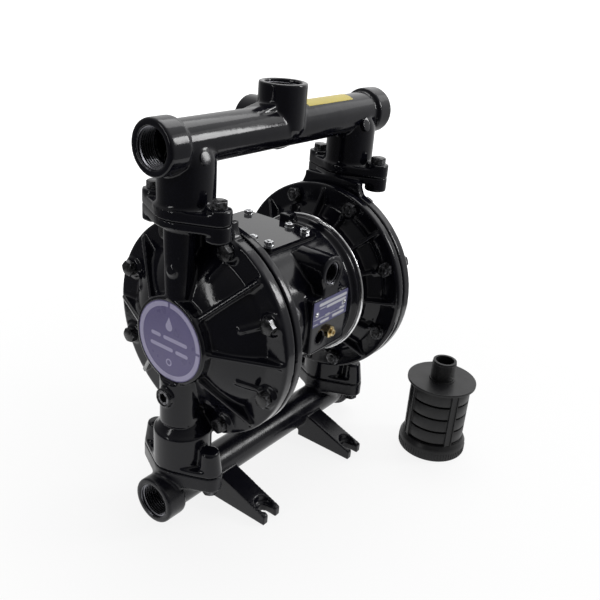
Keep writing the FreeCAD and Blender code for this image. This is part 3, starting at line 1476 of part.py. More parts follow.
def bottom_end_tools(side, sign):
    x = f"{sign}neck_offset"
    bore = rod(
        f"bottom_rise_{side}", "seat_bore_radius", "lower_joint_height - bottom_axis_height",
        (x, "0", "bottom_axis_height"))
    thread = rod(
        f"bottom_thread_{side}", "port_thread_radius", "port_thread_length",
        (f"{sign}port_face", "0", "bottom_axis_height"), "-X" if side == "right" else "+X")
    holes = [
        rod(f"bottom_hole_{side}_{place}", "flange_bolt_radius + hole_clearance", "bottom_flange_thickness",
            (x, y, "lower_joint_height - bottom_flange_thickness"))
        for place, y in (("front", "-lobe_offset"), ("rear", "lobe_offset"))]
    return [bore, thread, *holes]


def bottom_manifold():
    half = "(port_face - port_boss_length / 2)"
    tube = rod(
        "bottom_tube", "bottom_tube_radius", f"2 * {half}", (f"-{half}", "0", "bottom_axis_height"), "+X")
    feet = [foot_pair("foot_right", "foot_offset"), foot_pair("foot_left", "-foot_offset")]
    metal = fuse("bottom_metal", [tube, *feet, *in_pairs(bottom_ends)])
    bore_half = "(port_face - port_thread_length / 2)"
    bore = rod(
        "bottom_bore", "bottom_bore_radius", f"2 * {bore_half}", (f"-{bore_half}", "0", "bottom_axis_height"),
        "+X")
    return cut("bottom_manifold", metal, [bore, *in_pairs(bottom_end_tools)])


keep("bottom_manifold", bottom_manifold())


def flange_bolts(name, head_face, shank, aim):
    """Four hexagon bolts, two at each flange, with their heads on the manifold."""
    bolts = []
    for side, x in (("right", "neck_offset"), ("left", "-neck_offset")):
        for place, y in (("front", "-lobe_offset"), ("rear", "lobe_offset")):
            head = hexagon(
                f"{name}_head_{side}_{place}", "hex_flats", "hex_head_height", (x, y, head_face), aim)
            back = "-Z" if aim == "+Z" else "+Z"
            stem = rod(f"{name}_shank_{side}_{place}", "flange_bolt_radius", shank, (x, y, head_face), back)
            bolts.append(fuse(f"{name}_{side}_{place}", [head, stem]))
    return group(name, bolts)


keep("top_manifold_bolts", flange_bolts(
    "top_manifold_bolts", "upper_joint_height + top_lobe_height", "top_lobe_height + flange_bolt_grip", "+Z"))
keep("bottom_manifold_bolts", flange_bolts(
    "bottom_manifold_bolts", "lower_joint_height - bottom_flange_thickness",
    "bottom_flange_thickness + flange_bolt_grip + thread_end * 2", "-Z"))


# Exhaust silencer

SILENCER = ("silencer_x", "-silencer_y", "0")


DISC_LOW = "(silencer_disc_top - silencer_disc_thickness)"
CAGE_BORE = "(silencer_radius - silencer_wall)"

keep("silencer_head", turned("silencer_head", "Z_Axis", [
    ("nipple_bore_radius", DISC_LOW),
    ("silencer_disc_radius", DISC_LOW),
    ("silencer_disc_radius", "silencer_disc_top"),
    ("nipple_radius", "silencer_disc_top"),
    ("nipple_radius", "silencer_height"),
    ("nipple_bore_radius", "silencer_height"),
], SILENCER))


def silencer_cage():
    """Slotted plastic cage that carries the head."""
    shell = turned("cage_shell", "Z_Axis", [
        (CAGE_BORE, "base_height"),
        ("silencer_radius", "base_height"),
        ("silencer_radius", DISC_LOW),
        (CAGE_BORE, DISC_LOW),
    ], SILENCER)
    strips = []
    rings = []
    for number, turn in enumerate(("strip_turn", "strip_turn + 90")):
        strip = padded(f"cage_strip_{number}", "XY_Plane", [
            ("silencer_radius + strip_rise", "-strip_width / 2"),
            ("silencer_radius + strip_rise", "strip_width / 2"),
            ("-silencer_radius - strip_rise", "strip_width / 2"),
            ("-silencer_radius - strip_rise", "-strip_width / 2"),
        ], f"{DISC_LOW} - base_height", ("silencer_x", "-silencer_y", "base_height"))
        strip.setExpression("Placement.Rotation.Angle", formula(turn))
        strips.append(strip)
    core = rod("cage_core", CAGE_BORE, "silencer_height", SILENCER)
    for number in range(SIZES["slot_rows"]):
        low = f"slot_first + {number} * slot_pitch - slot_gap / 2"
        rings.append(rod(
            f"cage_ring_{number}", "silencer_radius + 2 * strip_rise", "slot_gap",
            ("silencer_x", "-silencer_y", low)))
    slotted = cut("cage_slotted", shell, [cut("cage_slots", fuse("cage_rings", rings), [core])])
    bars = cut("cage_bars", fuse("cage_strips", strips), [core])
    return fuse("silencer_cage", [slotted, bars])


keep("silencer_cage", silencer_cage())

spigot = "(silencer_radius - silencer_wall - spigot_clearance)"
keep("silencer_base", turned("silencer_base", "Z_Axis", [
    ("0", "0"),
    ("base_radius - edge_round", "0"),
    ("base_radius", "edge_round", "edge_round", 1),
    ("base_radius", "base_skirt_height"),
    ("silencer_radius + edge_round / 2", "base_height - spigot_clearance / 2"),
    (spigot, "base_height - spigot_clearance / 2"),
    (spigot, "base_height + spigot_height"),
    (f"{spigot} - silencer_wall", "base_height + spigot_height"),
    (f"{spigot} - silencer_wall", "base_floor"),
    ("0", "base_floor"),
], SILENCER))

element_low = "(base_floor + spigot_clearance / 2)"
element_top = "(silencer_disc_top - silencer_disc_thickness - spigot_clearance / 2)"
keep("silencer_element", turned("silencer_element", "Z_Axis", [
    ("element_radius - element_wall", element_low),
    ("element_radius", element_low),
    ("element_radius", element_top),
    ("element_radius - element_wall", element_top),
], SILENCER))


# Every object is checked before any file is written

doc.recompute()
failed = [thing.Name for thing in doc.Objects if {"Invalid", "Error"} & set(thing.State)]
if failed:
    raise RuntimeError(f"objects that did not build: {failed}")
for node in NODES:
    if node.Shape.isNull() or not node.Shape.isValid() or not node.Shape.Solids:
        raise RuntimeError(f"{node.Label} has no valid solid")

os.makedirs("parts", exist_ok=True)
for node in NODES:
    node.Shape.exportStep(f"parts/{node.Label}.step")
    print(f"{node.Label}: {len(node.Shape.Solids)} solids, {node.Shape.Volume / 1000:.1f} cm3")
print(len(NODES), "nodes")
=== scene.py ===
import json
import math

import bmesh
import bpy
from mathutils import Matrix, Vector

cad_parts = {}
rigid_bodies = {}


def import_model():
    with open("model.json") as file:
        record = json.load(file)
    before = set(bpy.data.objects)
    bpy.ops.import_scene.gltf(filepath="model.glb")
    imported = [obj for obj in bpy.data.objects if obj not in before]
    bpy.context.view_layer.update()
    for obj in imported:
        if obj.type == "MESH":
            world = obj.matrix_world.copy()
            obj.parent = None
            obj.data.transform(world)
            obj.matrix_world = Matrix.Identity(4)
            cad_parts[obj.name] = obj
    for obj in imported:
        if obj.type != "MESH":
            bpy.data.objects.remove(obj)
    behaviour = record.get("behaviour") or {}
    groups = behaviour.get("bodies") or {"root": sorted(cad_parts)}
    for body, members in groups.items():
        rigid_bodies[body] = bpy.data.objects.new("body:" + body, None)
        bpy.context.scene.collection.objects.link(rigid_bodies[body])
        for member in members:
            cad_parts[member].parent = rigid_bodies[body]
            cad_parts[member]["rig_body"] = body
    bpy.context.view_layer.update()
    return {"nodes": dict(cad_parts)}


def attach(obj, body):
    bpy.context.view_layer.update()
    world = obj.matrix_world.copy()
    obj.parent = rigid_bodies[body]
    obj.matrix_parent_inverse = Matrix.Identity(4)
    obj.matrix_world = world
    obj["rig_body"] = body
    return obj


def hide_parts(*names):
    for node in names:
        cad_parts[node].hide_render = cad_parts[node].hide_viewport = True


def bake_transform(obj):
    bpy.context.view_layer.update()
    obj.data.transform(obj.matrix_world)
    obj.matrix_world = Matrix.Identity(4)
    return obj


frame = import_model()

MM = 0.001
NODES = frame["nodes"]
SIDES = (("right", 1), ("left", -1))
OUTWARD = {1: "+X", -1: "-X"}

# Camera and picture, as in the photograph
IMAGE_SIDE = 600
FOCAL_PIXELS = 749.424
SENSOR_WIDTH = 36.0
CAMERA_PLACE = (-535.55, -421.08, 496.51)
CAMERA_RIGHT = (0.60805, -0.79024, 0.07606)
CAMERA_UP = (0.28438, 0.30626, 0.90848)

# Driving sizes of the pump, in millimetres, as its solids have them
AXIS_HEIGHT = 190.0
UPPER_JOINT = 302.0
LOWER_JOINT = 60.0
TOP_AXIS = 360.5
BOTTOM_AXIS = 29.5
NECK_OFFSET = 117.5
LOBE_OFFSET = 36.5
RIM_BOLT_CIRCLE = 91.0
RIM_BOLTS = 8
RIM_NUT_FACE = 71.6
LUG_FACE = 103.8
HUB_FACE = 136.0
SIDE_PORT_FACE = 155.4
TOP_PORT_FACE = 399.3
REAR_PORT_FACE = 38.8
PORT_BORE = 16.6
TOP_TUBE = 19.3
PAD_FACE = 73.0
INLET_HEIGHT = 238.0
INLET_BORE = 10.5
EXHAUST_FACE = 80.0
EXHAUST_HEIGHT = 226.0
EXHAUST_BORE = 13.2
PLATE_THICKNESS = 0.6
PLATE_MIDDLE = 203.5
FITTING_HEIGHT = 179.5
SILENCER = (153.8, -130.0)
SILENCER_TOP = 87.0
NIPPLE_RADIUS = 12.9


def link(thing):
    """Puts an object into the scene."""
    bpy.context.scene.collection.objects.link(thing)
    return thing


# Materials

class Nodes:
    """Shader tree, made node by node."""

    def __init__(self, tree):
        self.tree = tree

    def node(self, kind, **settings):
        """New node of a kind, with its settings."""
        made = self.tree.nodes.new(kind)
        for name, value in settings.items():
            setattr(made, name, value)
        return made

    def join(self, source, target):
        """Leads an output to an input."""
        self.tree.links.new(source, target)

    def ramp(self, source, stops):
        """Grey levels along a factor, from stops of (position, level)."""
        made = self.node("ShaderNodeValToRGB")
        elements = made.color_ramp.elements
        while len(elements) < len(stops):
            elements.new(0.5)
        for element, (position, level) in zip(elements, stops):
            element.position = position
            element.color = (level, level, level, 1.0)
        self.join(source, made.inputs["Fac"])
        return made.outputs["Color"]

    def math(self, operation, *values):
        """Result of a calculation with numbers or other nodes' results."""
        made = self.node("ShaderNodeMath", operation=operation)
        for socket, value in zip(made.inputs, values):
            if isinstance(value, (int, float)):
                socket.default_value = value
            else:
                self.join(value, socket)
        return made.outputs["Value"]

    def mix(self, factor, first, second):
        """Blend of two colours, each a constant or another node's result."""
        made = self.node("ShaderNodeMix", data_type="RGBA")
        for name, value in (("Factor", factor), ("A", first), ("B", second)):
            target = [socket for socket in made.inputs if socket.name == name and socket.enabled][0]
            if isinstance(value, tuple):
                target.default_value = (*value, 1.0)
            else:
                self.join(value, target)
        return [socket for socket in made.outputs if socket.enabled][0]


class Finish(Nodes):
    """One Principled material, whose textures lie in the object's own frame, in metres."""

    def __init__(self, name, colour, roughness, metallic=0.0):
        self.material = bpy.data.materials.new(name)
        self.material.use_nodes = True
        super().__init__(self.material.node_tree)
        self.shader = self.tree.nodes["Principled BSDF"]
        self.set("Base Color", (*colour, 1.0))
        self.set("Roughness", roughness)
        self.set("Metallic", metallic)
        self.place = self.node("ShaderNodeTexCoord").outputs["Object"]
        self.relief = None

    def set(self, socket, value):
        """Gives an input of the shader a constant."""
        self.shader.inputs[socket].default_value = value

    def paint(self, socket, source):
        """Gives an input of the shader another node's result."""
        self.join(source, self.shader.inputs[socket])

    def noise(self, scale, detail=3.0, stretch=None):
        """Smooth noise, whose scale can be stretched along X, Y and Z."""
        made = self.node("ShaderNodeTexNoise")
        made.inputs["Scale"].default_value = scale
        made.inputs["Detail"].default_value = detail
        place = self.place
        if stretch:
            mapping = self.node("ShaderNodeMapping")
            mapping.inputs["Scale"].default_value = stretch
            self.join(place, mapping.inputs["Vector"])
            place = mapping.outputs["Vector"]
        self.join(place, made.inputs["Vector"])
        return made.outputs["Fac"]

    def specks(self, scale, size):
        """1 on small round specks and 0 between them."""
        cells = self.node("ShaderNodeTexVoronoi")
        cells.inputs["Scale"].default_value = scale
        self.join(self.place, cells.inputs["Vector"])
        return self.ramp(cells.outputs["Distance"], [(0.0, 1.0), (size, 0.0)])

    def raised_edges(self):
        """1 along raised edges, where paint wears thin."""
        geometry = self.node("ShaderNodeNewGeometry")
        return self.ramp(geometry.outputs["Pointiness"], [(0.53, 0.0), (0.6, 1.0)])

    def bump(self, height, depth):
        """Adds a relief of a depth in metres."""
        made = self.node("ShaderNodeBump")
        made.inputs["Strength"].default_value = 1.0
        made.inputs["Distance"].default_value = depth
        self.join(height, made.inputs["Height"])
        if self.relief:
            self.join(self.relief, made.inputs["Normal"])
        self.relief = made.outputs["Normal"]
        self.join(self.relief, self.shader.inputs["Normal"])


def enamel(name, specular, glossy, dull, wave_depth, dusty=0.09):
    """Thick gloss enamel over cast aluminium: soft waves, orange peel and a little dust.

    The roughness runs from glossy to dull in patches, and dusty is the size of the dust specks.
    """
    finish = Finish(name, (0.005, 0.005, 0.008), 0.16)
    finish.set("Specular IOR Level", specular)
    wave = finish.noise(70, 2.0)
    finish.bump(wave, wave_depth)
    finish.bump(finish.noise(260, 2.0), wave_depth * 0.25)
    finish.bump(finish.noise(900, 1.0), 0.000012)
    tone = finish.mix(wave, (0.003, 0.003, 0.006), (0.006, 0.006, 0.010))
    patches = finish.ramp(finish.noise(45), [(0.55, 0.0), (0.7, 1.0)])
    dust = finish.math("MULTIPLY", finish.specks(260, dusty), patches)
    finish.paint("Base Color", finish.mix(dust, tone, (0.08, 0.08, 0.08)))
    finish.paint("Roughness", finish.ramp(finish.noise(38, 4.0), [(0.3, glossy), (0.75, dull)]))
    return finish.material


def printed_film(name, colour, shade):
    """Satin printed film: even ink, a little darker in clouds by a shade, with a faint pale grain."""
    finish = Finish(name, colour, 0.32)
    finish.set("Specular IOR Level", 0.35)
    grain = finish.noise(1800, 2.0)
    cloud = finish.noise(60, 2.0)
    ink = finish.mix(cloud, tuple(part * shade for part in colour), colour)
    finish.paint("Base Color", finish.mix(finish.math("MULTIPLY", grain, 0.25), ink, (0.5, 0.5, 0.52)))
    finish.paint("Roughness", finish.ramp(cloud, [(0.3, 0.26), (0.7, 0.4)]))
    finish.bump(grain, 0.000008)
    return finish.material


def worked_metal(name, colour, glossy, dull, stretch, scratch=0.00001):
    """Machined, ground or plated metal: fine tool lines, cloudy lustre and a few darker marks."""
    finish = Finish(name, colour, (glossy + dull) / 2, 1.0)
    lines = finish.noise(900, 2.0, stretch)
    cloud = finish.noise(140, 3.0)
    marks = tuple(part * 0.62 for part in colour)
    finish.paint("Base Color", finish.mix(finish.ramp(cloud, [(0.35, 0.0), (0.65, 1.0)]), marks, colour))
    finish.paint("Roughness", finish.ramp(lines, [(0.3, glossy), (0.7, dull)]))
    finish.bump(lines, scratch)
    return finish.material


def painted_steel():
    """Gloss black steel fasteners: paint thinner on the corners, with steel just showing."""
    finish = Finish("black_steel", (0.008, 0.008, 0.009), 0.2)
    finish.set("Specular IOR Level", 0.4)
    cloud = finish.noise(300, 3.0)
    worn = finish.math("MULTIPLY", finish.raised_edges(), finish.ramp(cloud, [(0.45, 0.0), (0.6, 1.0)]))
    finish.paint("Base Color", finish.mix(worn, (0.007, 0.007, 0.008), (0.16, 0.16, 0.17)))
    finish.paint("Metallic", finish.math("MULTIPLY", worn, 0.7))
    finish.paint("Roughness", finish.ramp(cloud, [(0.3, 0.14), (0.7, 0.3)]))
    finish.bump(cloud, 0.00005)
    return finish.material


def fibre_gasket():
    """Pale pressed fibre with its strands in one direction."""
    finish = Finish("pale_gasket", (0.78, 0.78, 0.79), 0.8)
    fibres = finish.noise(1400, 4.0, (1.0, 0.2, 1.0))
    finish.paint("Base Color", finish.mix(fibres, (0.66, 0.66, 0.66), (0.88, 0.88, 0.88)))
    finish.bump(fibres, 0.00004)
    return finish.material


def moulded_rubber():
    """Black rubber with a faint bloom."""
    finish = Finish("black_rubber", (0.012, 0.012, 0.013), 0.55)
    bloom = finish.noise(90, 3.0)
    finish.paint("Base Color", finish.mix(bloom, (0.008, 0.008, 0.009), (0.022, 0.022, 0.023)))
    finish.paint("Roughness", finish.ramp(bloom, [(0.3, 0.45), (0.7, 0.65)]))
    finish.bump(finish.noise(1500, 2.0), 0.00002)
    return finish.material


def engineering_plastic():
    """White plastic of the balls and bushings, a little translucent."""
    finish = Finish("pale_plastic", (0.74, 0.73, 0.69), 0.38)
    finish.set("Subsurface Weight", 0.05)
    cloud = finish.noise(55, 3.0)
    finish.paint("Base Color", finish.mix(cloud, (0.68, 0.67, 0.62), (0.8, 0.79, 0.76)))
    finish.bump(finish.noise(1200, 2.0), 0.00001)
    return finish.material


def silencer_plastic():
    """Satin moulded plastic: spark-eroded grain and slight sheen bands."""
    finish = Finish("black_plastic", (0.012, 0.012, 0.013), 0.42)
    finish.set("Specular IOR Level", 0.35)
    grain = finish.noise(2200, 2.0)
    cloud = finish.noise(40, 3.0)
    finish.paint("Base Color", finish.mix(cloud, (0.005, 0.005, 0.006), (0.010, 0.010, 0.011)))
    finish.paint("Roughness", finish.ramp(cloud, [(0.3, 0.36), (0.7, 0.5)]))
    finish.bump(grain, 0.00003)
    finish.bump(finish.noise(120, 2.0), 0.00006)
    return finish.material


def porous_felt():
    """Dark sintered sleeve with small pores, whose shade is painted as darker specks."""
    finish = Finish("grey_felt", (0.05, 0.05, 0.055), 0.95)
    pore_shade = finish.specks(900, 0.35)
    # painted shade: the specks for the pores are darker, standing in for the shade inside them
    finish.paint("Base Color", finish.mix(pore_shade, (0.075, 0.075, 0.08), (0.015, 0.015, 0.017)))
    finish.bump(finish.noise(700, 4.0), 0.0003)
    return finish.material


def yellow_film():
    """Plain yellow strip: slightly faded print with scuffs."""
    finish = Finish("yellow_film", (0.78, 0.62, 0.03), 0.35)
    cloud = finish.noise(90, 3.0)
    scuffs = finish.ramp(finish.noise(600, 4.0, (0.2, 1.0, 1.0)), [(0.66, 0.0), (0.74, 1.0)])
    base = finish.mix(cloud, (0.47, 0.37, 0.02), (0.60, 0.48, 0.04))
    finish.paint("Base Color", finish.mix(finish.math("MULTIPLY", scuffs, 0.5), base, (0.20, 0.16, 0.04)))
    finish.bump(cloud, 0.00004)
    return finish.material


VIOLET = (0.155, 0.128, 0.33)
LILAC = (0.55, 0.51, 0.76)
PLATE_BLUE = (0.065, 0.06, 0.22)
PALE_INK = (0.66, 0.66, 0.72)
THREAD_METAL = (0.22, 0.22, 0.24)
PALE_EDGE = (0.96, 0.96, 0.97)
ALUMINIUM = (0.60, 0.60, 0.62)
STEEL = (0.50, 0.50, 0.52)
ZINC = (0.78, 0.79, 0.81)
BRASS = (0.66, 0.52, 0.27)
EVEN = (1.0, 1.0, 1.0)
MATERIALS = {
    "cut_thread": worked_metal("cut_thread", THREAD_METAL, 0.22, 0.36, EVEN),
    "gloss_black_casting": enamel(
        "gloss_black_casting", specular=0.32, glossy=0.08, dull=0.17, wave_depth=0.00014),
    "dusty_casting": enamel(
        "dusty_casting", specular=0.3, glossy=0.16, dull=0.36, wave_depth=0.00018, dusty=0.14),
    "cover_enamel": enamel("cover_enamel", specular=0.5, glossy=0.05, dull=0.12, wave_depth=0.00003),
    "violet_label": printed_film("violet_label", VIOLET, shade=0.8),
    "lilac_print": printed_film("lilac_print", LILAC, shade=0.85),
    "blue_plate": printed_film("blue_plate", PLATE_BLUE, shade=0.7),
    "pale_print": printed_film("pale_print", PALE_INK, shade=0.85),
    "yellow_film": yellow_film(),
    "squeezed_edge": worked_metal("squeezed_edge", PALE_EDGE, 0.14, 0.20, EVEN, scratch=0.000002),
    "black_steel": painted_steel(),
    "pale_gasket": fibre_gasket(),
    "black_rubber": moulded_rubber(),
    "bare_aluminium": worked_metal("bare_aluminium", ALUMINIUM, 0.28, 0.46, (1.0, 0.05, 0.05)),
    "bare_steel": worked_metal("bare_steel", STEEL, 0.14, 0.28, (1.0, 0.1, 0.1)),
    "bright_zinc": worked_metal("bright_zinc", ZINC, 0.16, 0.30, (1.0, 1.0, 0.2)),
    "brass": worked_metal("brass", BRASS, 0.16, 0.30, (1.0, 0.2, 1.0)),
    "pale_plastic": engineering_plastic(),
    "black_plastic": silencer_plastic(),
    "grey_felt": porous_felt(),
}


# Mesh helpers; outlines and places are in millimetres

TURNS = {
    "+Z": Matrix.Identity(4),
    "-Z": Matrix.Rotation(math.pi, 4, "X"),
    "+X": Matrix.Rotation(math.pi / 2, 4, "Y"),
    "-X": Matrix.Rotation(-math.pi / 2, 4, "Y"),
    "+Y": Matrix.Rotation(-math.pi / 2, 4, "X"),
    "-Y": Matrix.Rotation(math.pi / 2, 4, "X"),
}
SHARP_ANGLE = 35.0
CHAMFER_ANGLE = 28.0
CHAMFER_START = 0.96
HEXAGON_STEPS = 48
THREAD_ROOT = 0.7
THREAD_HALF_BASE = 0.47
THREAD_HALF_CREST = 0.07


def placed(place, aim="+Z", spin=0.0):
    """Matrix that puts a shape drawn along +Z at a place, turned about its own axis and then aimed."""
    turn = Matrix.Rotation(math.radians(spin), 4, "Z")
    return Matrix.Translation(Vector(place) * MM) @ TURNS[aim] @ turn


def skin(bm, rings, matrix, closed=False):
    """Faces between rings of points, which may end in single points or close on themselves."""
    rows = [[bm.verts.new(matrix @ (Vector(point) * MM)) for point in ring] for ring in rings]
    pairs = list(zip(rows, rows[1:]))
    if closed:
        pairs.append((rows[-1], rows[0]))
    for low, high in pairs:
        count = max(len(low), len(high))
        for index in range(count):
            after = (index + 1) % count
            near = [low[index % len(low)], low[after % len(low)]]
            far = [high[after % len(high)], high[index % len(high)]]
            corners = near + far
            kept = [corner for spot, corner in enumerate(corners) if corner not in corners[:spot]]
            if len(kept) > 2:
                bm.faces.new(kept)
    return rows


def circle(radius, height, segments):
    """Ring of points about the Z axis, or the one point on it."""
    if radius == 0:
        return [(0, 0, height)]
    angles = [step * math.tau / segments for step in range(segments)]
    return [(radius * math.cos(angle), radius * math.sin(angle), height) for angle in angles]


def turned(bm, outline, matrix, segments, closed=False):
    """Skin turned about the matrix's own Z from an outline of (radius, height)."""
    skin(bm, [circle(radius, height, segments) for radius, height in outline], matrix, closed)


def lathe(bm, outline, place, aim="+Z", segments=64):
    """Solid turned about its aim; the outline closes on itself if it never meets the axis."""
    ring = outline[0][0] > 0 and outline[-1][0] > 0
    turned(bm, outline, placed(place, aim), segments, ring)


def arc(centre, radius, start, end, steps=6):
    """Points of an arc in an outline, its angles in degrees."""
    angles = [math.radians(start + (end - start) * step / steps) for step in range(steps + 1)]
    return [(centre[0] + radius * math.cos(angle), centre[1] + radius * math.sin(angle)) for angle in angles]


def prism(bm, outline, low, high, matrix):
    """Flat outline drawn in its own X and Y, thick from low to high along its own Z."""
    rings = [[(x, y, height) for x, y in outline] for height in (low, high)]
    rows = skin(bm, rings, matrix)
    bm.faces.new(rows[0])
    bm.faces.new(rows[1])


def hexagon_ring(flats, height, chamfer):
    """Outer line of a hexagon; chamfer is 1 where it drops at the corners and -1 where it rises there."""
    inner = flats / 2
    slope = math.tan(math.radians(CHAMFER_ANGLE))
    points = []
    for step in range(HEXAGON_STEPS):
        angle = step * math.tau / HEXAGON_STEPS
        off = (angle + math.pi / 6) % (math.pi / 3) - math.pi / 6
        reach = inner / math.cos(off)
        drop = (reach - inner * CHAMFER_START) * slope
        points.append((reach * math.cos(angle), reach * math.sin(angle), height - chamfer * drop))
    return points


def hexagon(bm, flats, low, high, matrix, bore=0.0):
    """Hexagon head with a turned chamfer, or with a bore a nut that is chamfered on both sides."""
    flat = flats / 2 * CHAMFER_START
    top = [hexagon_ring(flats, high, 1), circle(flat, high, HEXAGON_STEPS)]
    bottom = [hexagon_ring(flats, low, 0)]
    if bore:
        bottom = [circle(flat, low, HEXAGON_STEPS), hexagon_ring(flats, low, -1)]
    ends = [circle(bore, height, HEXAGON_STEPS) for height in (low, high)]
    skin(bm, [ends[0], *bottom, *top, ends[1]], matrix, bore > 0)


def thread(bm, radius, pitch, length, depth, matrix, inside=True, segments=40):
    """Helical ridge on the wall of a bore, or round a shank, fading out at both ends."""
    way = -1 if inside else 1
    root = radius - way * THREAD_ROOT
    base = pitch * THREAD_HALF_BASE
    flat = pitch * THREAD_HALF_CREST
    steps = round(length / pitch * segments)
    rings = []
    for step in range(steps + 1):
        angle = step * math.tau / segments
        height = step * pitch / segments
        fade = min(1.0, step / segments, (steps - step) / segments)
        crest = radius + way * depth * fade
        outline = ((root, -base), (crest, -flat), (crest, flat), (root, base))
        rings.append([
            (reach * math.cos(angle), reach * math.sin(angle), height + lift) for reach, lift in outline])
    rows = skin(bm, rings, matrix)
    bm.faces.new(rows[0])
    bm.faces.new(rows[-1])


def finish_mesh(bm, name):
    """Mesh with smooth faces and sharp corners."""
    bmesh.ops.recalc_face_normals(bm, faces=bm.faces)
    mesh = bpy.data.meshes.new(name)
    bm.to_mesh(mesh)
    bm.free()
    mesh.polygons.foreach_set("use_smooth", [True] * len(mesh.polygons))
    mesh.set_sharp_from_angle(angle=math.radians(SHARP_ANGLE))
    return mesh


def piece(name, bm, material, replaced=()):
    """A finished piece of the visual model, fixed to the pump."""
    made = link(bpy.data.objects.new(name, finish_mesh(bm, name)))
    made.data.materials.append(MATERIALS[material])
    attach(made, "pump")
    if replaced:
        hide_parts(*replaced)


def round_off(made, voxel, passes):
    """Turns a rough union of closed shapes into one skin with soft edges."""
    remesh = made.modifiers.new("remesh", "REMESH")
    remesh.mode = "VOXEL"
    remesh.voxel_size = voxel * MM * 1.0
    smooth = made.modifiers.new("smooth", "SMOOTH")
    smooth.factor = 0.5
    smooth.iterations = passes
    graph = bpy.context.evaluated_depsgraph_get()
    made.data = bpy.data.meshes.new_from_object(made.evaluated_get(graph))
    made.modifiers.clear()


def casting(node, extras=None, voxel=1.2, passes=4, draw_in=None, material="gloss_black_casting"):
    """One rounded skin over a node's solid and the fillets, collars and pads that are added to it."""
    bm = bmesh.new()
    bm.from_mesh(NODES[node].data)
    if draw_in:
        draw_in(bm)
    if extras:
        extras(bm)
    rough = bpy.data.meshes.new(node + "_rough")
    bmesh.ops.recalc_face_normals(bm, faces=bm.faces)
    bm.to_mesh(rough)
    bm.free()
    made = link(bpy.data.objects.new(node + "_skin", rough))
    round_off(made, voxel, passes)
    made.data.materials.clear()
    made.data.materials.append(MATERIALS[material])
    made.data.polygons.foreach_set("use_smooth", [True] * len(made.data.polygons))
    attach(made, NODES[node]["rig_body"])
    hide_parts(node)


# Castings

NECK_COLLAR_RADIUS = 24.4
NECK_COLLAR_SPREAD = 3.2
NECK_COLLAR_LOW = UPPER_JOINT + 9.0
SPOT_FACE = [
    (0, UPPER_JOINT + 12.0), (9.6, UPPER_JOINT + 12.0), (8.6, UPPER_JOINT + 13.6), (0, UPPER_JOINT + 13.6)]
INLET_COLLAR = [(0, 30.0), (20.5, 37.0), (23.0, 42.0), (26.5, 45.5), (0, 43.0)]
NECK_DOME = 343.8
NECK_PAD_TILT = 20.5
NECK_PAD_SHIFT = {"right": 8.0, "left": 2.0}
NECK_PAD = [(0, 21.0), (5.9, 21.0), (5.8, 24.3), (5.65, 24.6), (5.4, 24.75), (5.2, 24.78), (0, 24.78)]


def flare(radius, spread, low):
    """Outline of a concave collar at the foot of a round neck, from its wide foot up."""
    curve = arc((radius + spread, low + spread), spread, 270, 180)
    foot = [(0, low - 1.5), (radius + spread, low - 1.5)]
    return [*foot, *curve, (radius - 1.0, low + spread), (0, low + spread)]


def neck_pads():
    """Small flat cast pads on the front of the necks' domes, facing a little up."""
    bm = bmesh.new()
    for side, sign in SIDES:
        centre = Vector((sign * NECK_OFFSET - NECK_PAD_SHIFT[side], 0, NECK_DOME)) * MM
        tilt = Matrix.Rotation(math.radians(90 - NECK_PAD_TILT), 4, "X")
        turned(bm, NECK_PAD, Matrix.Translation(centre) @ tilt, segments=40)
    piece("neck_pads", bm, "gloss_black_casting")


def upper_collars(bm):
    """Fillets where the round necks stand on their flanges, and the spot faces of the flange bolts."""
    for _, sign in SIDES:
        x = sign * NECK_OFFSET
        lathe(bm, flare(NECK_COLLAR_RADIUS, NECK_COLLAR_SPREAD, NECK_COLLAR_LOW), (x, 0, 0))
        for y in (-LOBE_OFFSET, LOBE_OFFSET):
            lathe(bm, SPOT_FACE, (x, y, 0))


def lower_collars(bm):
    """Flared seats under the inlet valve chambers."""
    for _, sign in SIDES:
        lathe(bm, INLET_COLLAR, (sign * NECK_OFFSET, 0, 0))


COLUMN_BOSS = [(0, 0), (5.2, 0), (4.4, 2.0), (0, 2.0)]
COLUMN_BOSS_PLACE = (135.8, -3.0, AXIS_HEIGHT + 67.0)
COLUMN_MIDDLE = 122.5
COLUMN_COLLAR = [
    (0, UPPER_JOINT - 16), (13.6, UPPER_JOINT - 16),
    *arc((20.5, UPPER_JOINT - 13.5), 6.5, 180, 90), (0, UPPER_JOINT - 7)]
POST_TOP = 83.0
POST_LEAN = 1.5
POST_TAPER = 0.80
POST_REACH = 11.5
POST_MARGIN = 0.5
POST_CAP = [
    (0, POST_TOP - 3.0), (9.0, POST_TOP - 3.0), (9.0, POST_TOP - 0.8),
    *arc((6.6, POST_TOP - 0.8), 2.4, 0, 80), (0, POST_TOP + 1.9)]
CHAMBER_REACH = 27.5
SADDLE_CORNER = (37.5, 39.5)
SADDLE_REACH = 104.0
SADDLE_SHIFT = 5.5


def cap_extras(sign):
    """Boss and collar of a fluid cap's column, and the rounded tops of its bolt posts."""
    def extras(bm):
        x, y, z = COLUMN_BOSS_PLACE
        lathe(bm, COLUMN_BOSS, (sign * x, y, z), OUTWARD[sign], segments=24)
        lathe(bm, COLUMN_COLLAR, (sign * COLUMN_MIDDLE, 0, 0))
        for way in (-1, 1):
            lathe(bm, POST_CAP, (sign * NECK_OFFSET, way * (LOBE_OFFSET - POST_LEAN), 0))
    return extras


